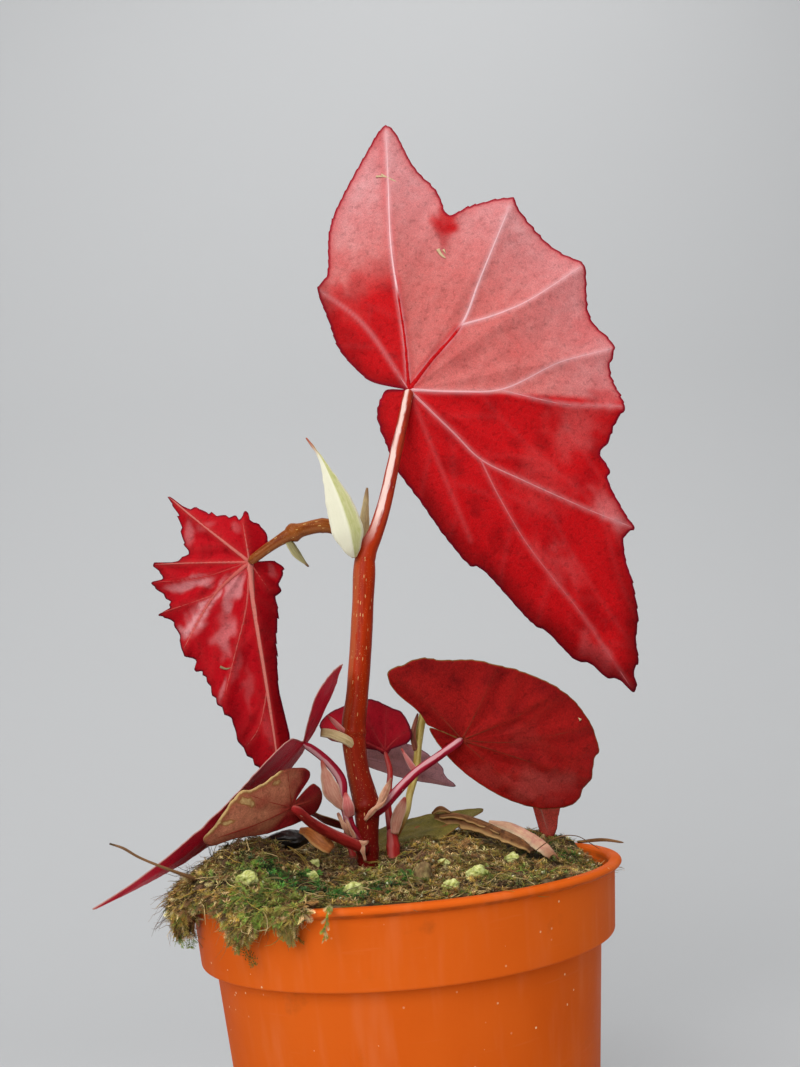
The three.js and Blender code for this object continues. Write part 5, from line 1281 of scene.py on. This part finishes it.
twigUsual = {"sides": 10, "lumpy": 0.3, "facing": (0, 0, 1)}
addStem("leftTwig", "left_twig", stemSkins["twigSkin"], "dry_leaf", {**twigUsual, "path": [
    (-46.6, -26, 80.8, 0.14), (-44.5, -26.1, 80, 0.18), (-42, -26, 78.4, 0.18), (-38.3, -25, 76.4, 0.22),
    (-33.4, -22.6, 73.8, 0.3),
]})
threadPath = [
    (23.4, -8.2, 71.6, 0.07), (25.5, -11.0, 73.4, 0.09), (28.0, -13.6, 74.6, 0.09), (30.9, -11.9, 74.2, 0.08),
    (33.9, -8.0, 72.4, 0.07), (36.3, -4.4, 70.8, 0.05),
]
addStem("rightTwig", "right_twig", stemSkins["twigSkin"], "dry_leaf", {
    **twigUsual, "path": [(36.2, 14.6, 70.2, 0.32), (40.7, 11, 70.6, 0.3), (43.9, 8, 70.1, 0.2)],
    "branches": [{"path": threadPath, "sides": 6, "facing": (0, 0, 1)}],
})

print("begonia: moss, soil and loose bits")
moss = {
    "level": 69.8, "heap": (-27, -13, 8.4, 10.6, 19.5), "mounds": [(-3, 0, 2, 14), (13, 6, 2, 9), (4, 6, 1.4, 6)],
    "backRise": 3.2, "rightDip": 2.6, "coarse": 0.9, "fine": 0.5, "pits": 1.5, "sunk": 0.05,
    "edge": 37.22, "depth": 3, "floorMost": 71, "corners": 220, "reach": 2.0, "steps": 130, "outerCount": 20,
    "overhang": [(183, 70), (194, 68.4), (200, 67.6), (205, 65.2), (209, 68.4), (214, 70.2), (226, 70.2), (229, 68.6),
                 (232.5, 66), (236, 67.8), (239.5, 69.6), (244.5, 67.2), (249, 70.2)],
}
perliteGrains = [
    (12.1, -18.6, 3.6), (-24.4, -29.1, 3.2), (-15.3, -19.6, 2.2), (-8, -24.9, 3.4), (7.1, -7.2, 2.4),
    (7, -27.1, 2.8), (-15.8, -9.6, 2), (3.6, -9.9, 2.2), (20, -4.4, 2.8),
]
# places that the sprigs leave free: x, y, how far
keepOff = [(x, y, width * 0.36) for x, y, width in perliteGrains]
keepOff += [(-6.6, -3.3, 3), (-1.8, 0.2, 2), (-20.8, -6, 4), (-17.6, -7, 3.4), (3.1, -20.6, 1.4)]
for name in ("brownCurl", "pinkStrip", "orangeCurl"):
    keepOff += [(spot[0], spot[1], 1.9) for spot in curveThrough(slips[name][3], 1.5)]


def mossHeight(x, y):
    heapX, heapY, rise, wideX, wideY = moss["heap"]
    height = moss["level"] + rise * np.exp(-(((x - heapX) / wideX) ** 2) - ((y - heapY) / wideY) ** 2)
    for moundX, moundY, moundRise, wide in moss["mounds"]:
        height = height + moundRise * np.exp(-((x - moundX) ** 2 + (y - moundY) ** 2) / wide**2)
    back = smooth((y - 2) / 18)
    edge = smooth((np.hypot(x, y) - 30) / 8)
    return height + moss["backRise"] * back * (1 - 0.4 * edge) - moss["rightDip"] * smooth((x - 24) / 13) * (1 - back)


def mossLumps(points):
    dips = smooth((-0.2 - wobble(points, 2.3, 7)) / 0.25)
    return moss["coarse"] * wobble(points, 3.4, 1) + moss["fine"] * wobble(points, 1.1, 2) - moss["pits"] * dips


# the cushion: rings from the middle outwards, then back inwards along its underside
def mossMat():
    count = moss["corners"]
    shares = np.concatenate([np.linspace(0.02, 0.97, 52), [0.985, 1.0]])[:, None]
    turns = np.arange(count) / count * fullTurn
    x, y = moss["edge"] * shares * np.cos(turns), moss["edge"] * shares * np.sin(turns)
    top = np.column_stack([x.ravel(), y.ravel(), mossHeight(x, y).ravel()])
    top[:, 2] += mossLumps(top)
    x, y = x[::-12], y[::-12]
    floor = np.minimum(mossHeight(x, y) - moss["depth"], moss["floorMost"])
    points = np.vstack([top, np.column_stack([x.ravel(), y.ravel(), floor.ravel()])])
    return {"points": points, "faces": loopFaces(len(points) // count, count), "marks": {}}


def evenly(rows, count):
    rows = np.array(rows)
    travel = travelOf(rows)
    at = np.linspace(0, travel[-1], count)
    line = np.column_stack([np.interp(at, travel, rows[:, i]) for i in range(rows.shape[1])])
    for _ in range(2):
        line[1:-1] = (line[:-2] + 2 * line[1:-1] + line[2:]) / 4
    return line


# where the moss hangs over the rim: one closed section at each angle, its outer side first
def mossRings():
    places, steps, outerCount = moss["overhang"], moss["steps"], moss["outerCount"]
    lip, height = pot["lip"], pot["height"]
    rings = []
    for step in range(steps + 1):
        degrees = places[0][0] + (places[-1][0] - places[0][0]) * step / steps
        turn = math.radians(degrees)
        low = float(np.interp(degrees, *np.array(places).T))
        fade = max(0.0, math.sin(math.pi * step / steps)) ** 0.5
        lump = 0.5 + 0.5 * noise.noise(Vector((step * 0.2, 3.1, 0)))
        far = lip + 1 + moss["reach"] * fade * (0.8 + 0.4 * lump)

        def ground(radius):
            return float(mossHeight(radius * math.cos(turn), radius * math.sin(turn)))

        def crest(radius):
            return max(height + 0.7 + 0.8 * fade, ground(radius) - 0.5)

        shoulder = crest(far - 0.8) - 1
        outer = evenly([
            (lip - 6, ground(lip - 6) - 0.4), (lip - 2.6, crest(lip - 2.6)), (lip + 0.4, crest(lip + 0.4) + 0.3),
            (far - 0.8, shoulder), (far, (shoulder + low) / 2), (far - 1, low),
        ], outerCount)
        inner = [
            (lip - 0.6, low - 0.2), (lip - 0.6, (height + low) / 2 - 1), (lip - 0.6, height - 1.4),
            (lip - 0.6, height - 0.6), (lip - 2.8, height - 0.8), (lip - 6, ground(lip - 6) - 2.8),
        ]
        rings.append([(r * math.cos(turn), r * math.sin(turn), z) for r, z in list(outer) + inner])
    rings = np.array(rings)
    outer = rings[:, 2:outerCount - 1]
    outer += 0.5 * wobble(outer.reshape(-1, 3), 2.2, 3).reshape(outer.shape[:2])[:, :, None] * unit(outer * (1, 1, 0))
    return rings


# a sprig's shape is its points, how far up each point is, and its triangles
def asArrays(shape):
    return [np.array(part) for part in shape]


def addLeaflet(shape, corners, shares, turned):
    points, share, faces = shape
    start = len(points)
    points += corners
    share += shares
    faces.append((start + 1, start, start + 2) if turned else (start, start + 1, start + 2))


# a thin three-sided stalk along a line
def stalkShape(line, wide):
    points, share, faces = [], [], []
    for ring, (x, y, z) in enumerate(line):
        t = ring / (len(line) - 1)
        for corner in range(3):
            turn, around = corner * 2.094, wide * (1.3 - t)
            points.append((x, y + around * math.cos(turn), z + around * math.sin(turn)))
            share.append(0.3 + 0.5 * t)
            if ring < len(line) - 1:
                a, b = ring * 3 + corner, ring * 3 + (corner + 1) % 3
                faces += [(a, b, b + 3), (a, b + 3, a + 3)]
    return points, share, faces


# one feathery frond, one long, lying along +X with its tip lifted, and finer leaflets on both sides
def frondShape(random, pairs, spreadOut, lift):
    shape = stalkShape([(0, 0, 0), (0.5, 0, lift / 4), (1, 0, lift)], 0.03)
    for pair in range(pairs):
        t = 0.12 + 0.86 * pair / pairs
        size = spreadOut * math.sin(math.pi * (0.18 + 0.74 * t)) * random.uniform(0.8, 1.2)
        rise = lift * t * t
        for side in (-1, 1):
            tip = (t + size * 0.75, side * size, rise + random.uniform(-0.02, 0.12))
            corners = [(t - 0.035, 0, rise), (t + 0.045, 0, rise + 0.01), tip]
            addLeaflet(shape, corners, [t * 0.6, t * 0.6, 0.5 + t * 0.5], side > 0)
    return asArrays(shape)


# one fern-like sprig, one long: branchlets on both sides, each with small leaflets
def fernShape(random):
    shape = stalkShape([(0, 0, 0), (0.5, 0, 0.04), (1, 0, 0)], 0.012)
    for pair in range(10):
        t = 0.06 + 0.092 * pair
        length = 0.3 * math.sin(math.pi * (0.18 + 0.75 * t)) * random.uniform(0.75, 1.2)
        for side in (-1, 1):
            lean = math.radians(random.uniform(38, 62))
            out = np.array([math.cos(lean), side * math.sin(lean), random.uniform(-0.15, 0.3)])
            across = np.array([-out[1], out[0], 0])
            for leaflet in range(3):
                size = 0.07 - 0.013 * leaflet
                at = np.array([t, 0, 0.02]) + out * length * (0.25 + 0.33 * leaflet)
                for way in (-1, 1):
                    tip = at + out * size + across * way * size
                    corners = [tuple(at - out * size * 0.5), tuple(at + out * size * 0.5), tuple(tip)]
                    addLeaflet(shape, corners, [t * 0.5, t * 0.5, 0.5 + 0.3 * t + 0.1 * leaflet], way < 0)
    return asArrays(shape)


# one little star of narrow leaves, one across, standing on +Z
def starShape(random, leaves):
    points, share, faces = [], [], []
    for leaf in range(leaves):
        turn = leaf * 2.4 + random.uniform(-0.2, 0.2)
        tilt = math.radians(10 + 50 * leaf / leaves)
        out = np.array([math.cos(turn) * math.cos(tilt), math.sin(turn) * math.cos(tilt), math.sin(tilt)])
        out = out * random.uniform(0.75, 1.1)
        side = np.array([-math.sin(turn), math.cos(turn), 0]) * 0.09
        middle, start = out * 0.45 + np.array([0, 0, 0.06]), len(points)
        points += [(0, 0, 0), tuple(middle - side), tuple(middle + side), tuple(out + np.array([0, 0, -0.1]))]
        share += [0, 0.5, 0.5, 1]
        faces += [(start, start + 1, start + 2), (start + 1, start + 3, start + 2)]
    return asArrays((points, share, faces))


# a thin bent fibre, one long
def fibreShape(random, wide, bend):
    middle = (0.5, random.uniform(-bend, bend), random.uniform(0.02, 0.1))
    line = [(0, 0, 0), (0.25, middle[1] * 0.7, 0.06), middle, (0.78, middle[1] * 0.6, 0.06),
            (1, random.uniform(-bend, bend), random.uniform(-0.05, 0.08))]
    return asArrays(stalkShape(line, wide))


# an angular crumb, one across
def crumbShape(random):
    axes = [(1, 0, 0), (0, 1, 0), (-1, 0, 0), (0, -1, 0), (0, 0, 1), (0, 0, -1)]
    points = np.array(axes) * random.uniform(0.3, 0.62, (6, 1)) + random.uniform(-0.1, 0.1, (6, 3))
    faces = [(i, (i + 1) % 4, 4) for i in range(4)] + [((i + 1) % 4, i, 5) for i in range(4)]
    return asArrays((points, random.uniform(0.3, 1.0, 6), faces))


# copies one shape to every spot: each copy has its own turn, lean, size and tint
def scatter(shape, spots, normals, headings, leans, sizes, tints):
    points, share, faces = shape
    forward = unit(headings - (headings * normals).sum(1, keepdims=True) * normals)
    side = np.cross(normals, forward)
    cosine, sine = np.cos(leans)[:, None], np.sin(leans)[:, None]
    front, up = cosine * forward + sine * normals, cosine * normals - sine * forward
    world = spots[:, None] + sizes[:, None, None] * (
        points[None, :, :1] * front[:, None] + points[None, :, 1:2] * side[:, None] + points[None, :, 2:] * up[:, None]
    )
    shade = 0.5 + 0.75 * share
    faded = smooth((share - 0.82) / 0.18)[None, :, None] * 0.35
    tint = tints[:, None] * shade[None, :, None] * (1 - faded) + mossTints["straw"] * faded
    every = faces[None] + (np.arange(len(spots)) * len(points))[:, None, None]
    marks = {"tint": opaque(tint.reshape(-1, 3))}
    return {"points": world.reshape(-1, 3), "faces": every.reshape(-1, 3).tolist(), "marks": marks}


def opaque(tints):
    return np.column_stack([tints, np.ones(len(tints))])


mossTints = {
    "olive": "#8f7f38", "brown": "#8c643a", "straw": "#cfb67c", "green": "#728534", "bright": "#7d9a34",
    "deep": "#3d7a28", "teal": "#2c6034", "gold": "#b0903f", "dark": "#3f3c22", "umber": "#583c28", "cream": "#dcdcb8",
}
mossTints = {name: np.array(colour(text)[:3]) for name, text in mossTints.items()}
# share of each tint: everywhere, then round a place on the moss (x, y, how far)
mossBlend = {
    "everywhere": {"olive": 6, "brown": 5, "straw": 3, "gold": 4, "green": 1.6, "umber": 2.4, "dark": 1},
    "places": [
        ((-29, -14, 13), {"olive": 7, "brown": 4, "straw": 3, "green": 1.6, "umber": 3, "dark": 1.4, "gold": 1.4}),
        ((-16, -13, 7), {"brown": 7, "olive": 3, "umber": 4, "straw": 2}),
        ((-20, -35, 4.5), {"bright": 3, "green": 6, "olive": 5}), ((-22.5, -28.5, 3.5), {"bright": 4, "green": 6}),
        ((-20.5, -24, 3.8), {"deep": 8, "teal": 3, "olive": 2}), ((-15, -25, 4.6), {"deep": 8, "teal": 3, "olive": 2}),
        ((-9, -25, 5), {"deep": 6, "teal": 3, "green": 2}), ((-3, -16, 5), {"deep": 3, "olive": 4, "green": 3}),
        ((13, 4, 9), {"gold": 8, "straw": 3, "brown": 4, "olive": 3}),
        ((18, -24, 8), {"dark": 4, "umber": 4, "olive": 4, "green": 3}),
        ((28, 4, 8), {"deep": 4, "dark": 3, "olive": 4}),
    ],
}


def tintAt(spots, random):
    names = list(mossTints)
    weights = np.array([mossBlend["everywhere"].get(name, 0) for name in names], float)[None].repeat(len(spots), 0)
    weights /= weights.sum(1, keepdims=True)
    for (x, y, wide), blend in mossBlend["places"]:
        near = np.exp(-(((spots[:, 0] - x) ** 2 + (spots[:, 1] - y) ** 2) / wide**2))[:, None]
        local = np.array([blend.get(name, 0) for name in names], float)
        weights = weights * (1 - near) + near * local / local.sum()
    clump = wobble(spots, 3.2, 9)[:, None] * 0.75
    dice = np.clip(random.random((len(spots), 1)) * 0.6 + 0.2 + clump, 0, 0.999)
    tints = np.array([mossTints[name] for name in names])[(np.cumsum(weights, axis=1) > dice).argmax(1)]
    patch = 1 + 0.5 * wobble(spots, 2.4, 12)[:, None]
    return tints * patch * random.uniform(0.62, 1.6, (len(spots), 1)) * random.uniform(0.9, 1.1, (len(spots), 3))


# spots on top of the cushion, with their normals
def topSpots(count, random):
    radius = moss["edge"] * np.sqrt(random.random(count)) * 0.995
    turn = random.random(count) * fullTurn
    x, y = radius * np.cos(turn), radius * np.sin(turn)
    z = mossHeight(x, y)
    slopeX = (mossHeight(x + 0.5, y) - z) / 0.5
    slopeY = (mossHeight(x, y + 0.5) - z) / 0.5
    spots = np.column_stack([x, y, z])
    spots[:, 2] += mossLumps(spots) - moss["sunk"]
    free = np.all([np.hypot(x - offX, y - offY) > far for offX, offY, far in keepOff], axis=0)
    return spots[free], unit(np.column_stack([-slopeX, -slopeY, np.ones(count)]))[free]


# spots on the outer side of the overhang, with their normals
def rimSpots(rings, count, random, lowest):
    outerCount = moss["outerCount"]
    depth = np.cumsum(72 - rings[:-1, outerCount - 1, 2])
    row = np.searchsorted(depth, random.random(count) * depth[-1]) + random.random(count) * 0.999
    col = 1 + (lowest + (1 - lowest) * random.random(count) ** 0.8) * (outerCount - 1.001)
    i, j = row.astype(int), col.astype(int)
    a, b = (row - i)[:, None], (col - j)[:, None]
    corner, along, down = rings[i, j], rings[i + 1, j] - rings[i, j], rings[i, j + 1] - rings[i, j]
    return corner + a * along + b * down, unit(np.cross(down, along))


def mossMaterial(name, low, high, rough):
    startMaterial(name)
    at = objectPlace()
    patch = spread(noiseAt(at, 700.0, detail=4.0), 0.3, 0.7, low, high)
    tint = put("Attribute", attribute_name="tint")["Color"]
    return finishMaterial({
        "Base Color": brighter(tint, patch), "Normal": bumpFrom(noiseAt(at, 1600.0, detail=5.0), 0.8, 0.0004),
        "Roughness": rough, "Specular IOR Level": 0.3,
    })


mossGround = mossMaterial("mossGround", 0.35, 0.8, 0.95)
mossLeaf = mossMaterial("mossLeaf", 0.75, 1.3, 0.62)


def addMoss():
    random = np.random.default_rng(41)
    rings = mossRings()
    overFaces = [face[::-1] for face in loopFaces(*rings.shape[:2])]
    ground = joined([mossMat(), {"points": rings.reshape(-1, 3), "faces": overFaces, "marks": {}}])
    ground["marks"]["tint"] = opaque(tintAt(ground["points"], random) * 0.3 + mossTints["umber"] * 0.4)
    settle(addPiece("mossMat", ground), ["moss"], "moss", mossGround)
    pieces = {}

    # lays copies at spots: pull draws their headings one way, chosen replaces the tints of some
    def lay(label, shapes, where, leans, sizes, pull=(0, 0, 0), chosen=(), share=0.0):
        spots, normals = where
        count = len(spots)
        turn = random.random(count) * fullTurn
        headings = np.column_stack([np.cos(turn), np.sin(turn), np.zeros(count)]) + pull
        tints = tintAt(spots, random)
        if chosen:
            swap = random.random(count) < share
            tints[swap] = np.array([mossTints[name] for name in chosen])[random.integers(len(chosen), size=swap.sum())]
            tints *= random.uniform(0.7, 1.2, (count, 1))
        leans, sizes = random.uniform(*leans, count), random.uniform(*sizes, count)
        pick = random.integers(len(shapes), size=count)
        for index, shape in enumerate(shapes):
            own = (part[pick == index] for part in (spots, normals, headings, leans, sizes, tints))
            pieces.setdefault(label, []).append(scatter(shape, *own))

    fronds = [frondShape(random, 9, 0.26, 0.12), frondShape(random, 8, 0.2, 0.3)]
    stars = [starShape(random, 9), starShape(random, 11)]
    ferns = [fernShape(random) for _ in range(3)]
    threads = [fibreShape(random, 0.02, 0.3) for _ in range(5)]
    hairs = [fibreShape(random, 0.009, 0.22) for _ in range(4)]
    crumbs = [crumbShape(random) for _ in range(6)]
    dry = ("straw", "brown", "gold", "umber", "olive")

    def top(count):
        return topSpots(count, random)

    def rim(count, lowest=0.0):
        spots, normals = rimSpots(rings, count, random, lowest)
        kept = (lowest == 0) | (spots[:, 2] < 69.4)
        return spots[kept], normals[kept]

    lay("mossFronds", fronds, top(5000), (-0.1, 0.35), (1.0, 2.2))
    lay("mossStars", stars, top(5600), (-0.5, 0.5), (0.6, 1.2))
    lay("mossThreads", threads, top(5600), (-0.15, 0.14), (1.2, 3.2), chosen=dry, share=0.5)
    lay("mossCrumbs", crumbs, top(1700), (-1, 1), (0.25, 0.85), chosen=("umber", "dark", "brown", "cream"), share=0.8)
    lay("mossCrumbs", crumbs, top(90), (-1, 1), (0.7, 1.2), chosen=("cream", "straw"), share=1)
    lay("mossFringe", fronds, rim(1900), (-0.2, 0.5), (1.0, 2.2), pull=(-0.15, -0.2, -0.5))
    lay("mossFringe", ferns, rim(130, 0.15), (-0.15, 0.25), (2.4, 4.6), pull=(-0.3, -0.2, -2.2),
        chosen=("green", "olive", "olive", "bright"), share=0.8)
    lay("mossFerns", ferns, top(150), (-0.05, 0.35), (2.6, 5))
    lay("mossThreads", threads, top(340), (-0.05, 0.4), (2.6, 5.8), chosen=("straw", "gold", "brown"), share=1)
    lay("mossThreads", threads, rim(70), (-0.05, 0.4), (2.6, 5), pull=(0, 0, -0.6), chosen=("straw", "gold"), share=1)
    lay("mossFringe", stars, rim(700), (-0.5, 0.5), (0.6, 1.1))
    lay("mossThreads", threads, rim(900), (-0.1, 0.4), (1.2, 3), pull=(-0.2, -0.2, -0.4), chosen=dry, share=0.6)
    lay("mossFringe", fronds, rim(420, 0.8), (-0.2, 0.3), (1.4, 2.6), pull=(0, 0, -2.4),
        chosen=("straw", "olive", "brown"), share=0.6)
    lay("mossHairs", hairs, top(160), (0, 0.5), (3, 7), chosen=("straw", "umber"), share=1)
    lay("mossHairs", hairs, rim(110), (0, 0.7), (3, 6.5), pull=(-0.5, -0.3, -0.7), chosen=("umber", "brown"), share=1)
    strand = curveThrough([(-10.6, -37.9, 70.4), (-11.1, -39.7, 70.8), (-11.5, -40.3, 69), (-11.9, -39.9, 66.8)], 0.16)
    outward = unit(unit(strand * (1, 1, 0)) + np.array([0, 0, 0.4]))
    lay("mossFringe", fronds, (strand, outward), (0, 0.3), (0.7, 1.2), pull=(0, 0, -1.5),
        chosen=("bright", "green", "straw"), share=1)
    for label, parts in pieces.items():
        body = joined(parts)
        print("begonia:", label, len(body["faces"]), "triangles")
        settle(addPiece(label, body), ["moss"], "moss", mossLeaf)


addMoss()


def soilMaterial():
    startMaterial("darkSoil")
    at = objectPlace()
    crumbs = noiseAt(at, 500.0, 6.0, 0.7)
    ground = mixed(spread(crumbs, 0.35, 0.65), "#2c2018", "#4d3a28")
    ground = mixed(specks(at, 350.0, 0.2, 0.1), ground, "#b9b394")
    return finishMaterial({"Base Color": ground, "Normal": bumpFrom(crumbs, 1.0, 0.0008), "Roughness": 0.95})


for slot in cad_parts["soil"].material_slots:
    slot.material = soilMaterial()

lumpLooks = {
    "perlitePaleGreen": {
        "base": "#edefa6", "shade": "#b3b850", "film": "#75852c", "filmShare": 0.6, "pitScale": 1500.0, "shine": 0.7},
    "wetBark": {
        "base": "#141210", "shade": "#2a2420", "film": "#3a332c", "filmShare": 0.3, "pitScale": 500.0, "shine": 0.3},
    "rottenWood": {
        "base": "#8f7348", "shade": "#5d4526", "film": "#a9a060", "filmShare": 0.4, "pitScale": 600.0, "shine": 0.8},
}


def lumpMaterial(name):
    looks = lumpLooks[name]
    startMaterial(name)
    at = objectPlace()
    pits = noiseAt(at, looks["pitScale"], 6.0, 0.7)
    ground = mixed(spread(pits, 0.35, 0.65), looks["base"], looks["shade"])
    film = times(spread(noiseAt(at, 420.0), 0.42, 0.62), looks["filmShare"])
    return finishMaterial({
        "Base Color": mixed(film, ground, looks["film"]), "Normal": bumpFrom(pits, 0.9, 0.0003),
        "Roughness": looks["shine"],
    })


# a crumbly lump: a sphere is subdivided, stretched to its size and pushed in and out by noise
def addLump(name, slot, place, size, seed, rough, material):
    bpy.ops.object.select_all(action="DESELECT")
    bpy.ops.mesh.primitive_ico_sphere_add(subdivisions=5, radius=1)
    lump = bpy.context.object
    lump.name = name
    points = np.empty(len(lump.data.vertices) * 3)
    lump.data.vertices.foreach_get("co", points)
    points = points.reshape(-1, 3)
    swell = 1 + rough * wobble(points, 0.9, seed) + rough * 0.5 * wobble(points, 0.35, seed + 1)
    swell = swell - rough * 0.3 * np.abs(wobble(points, 0.16, seed + 2))
    points = points * swell[:, None] * np.array(size) / 2
    lump.data.vertices.foreach_set("co", ((points + np.array(place)) * mm).ravel())
    lump.data.update()
    settle(lump, [cadName(name)], slot, material)


perlite = lumpMaterial("perlitePaleGreen")
for index, (x, y, width) in enumerate(perliteGrains):
    place, size = (x, y, float(mossHeight(x, y)) + width * 0.08), (width, width * 0.9, width * 0.8)
    addLump(f"perlite{index + 1}", "perlite", place, size, 50 + index, 0.4, perlite)
addLump("barkChunk", "bark", (-20.8, -6, 77.4), (8.6, 4.5, 3.4), 61, 0.2, lumpMaterial("wetBark"))
addLump("brownChunk", "dry_leaf", (3.1, -20.6, 71.2), (2.8, 2.6, 4.2), 67, 0.25, lumpMaterial("rottenWood"))
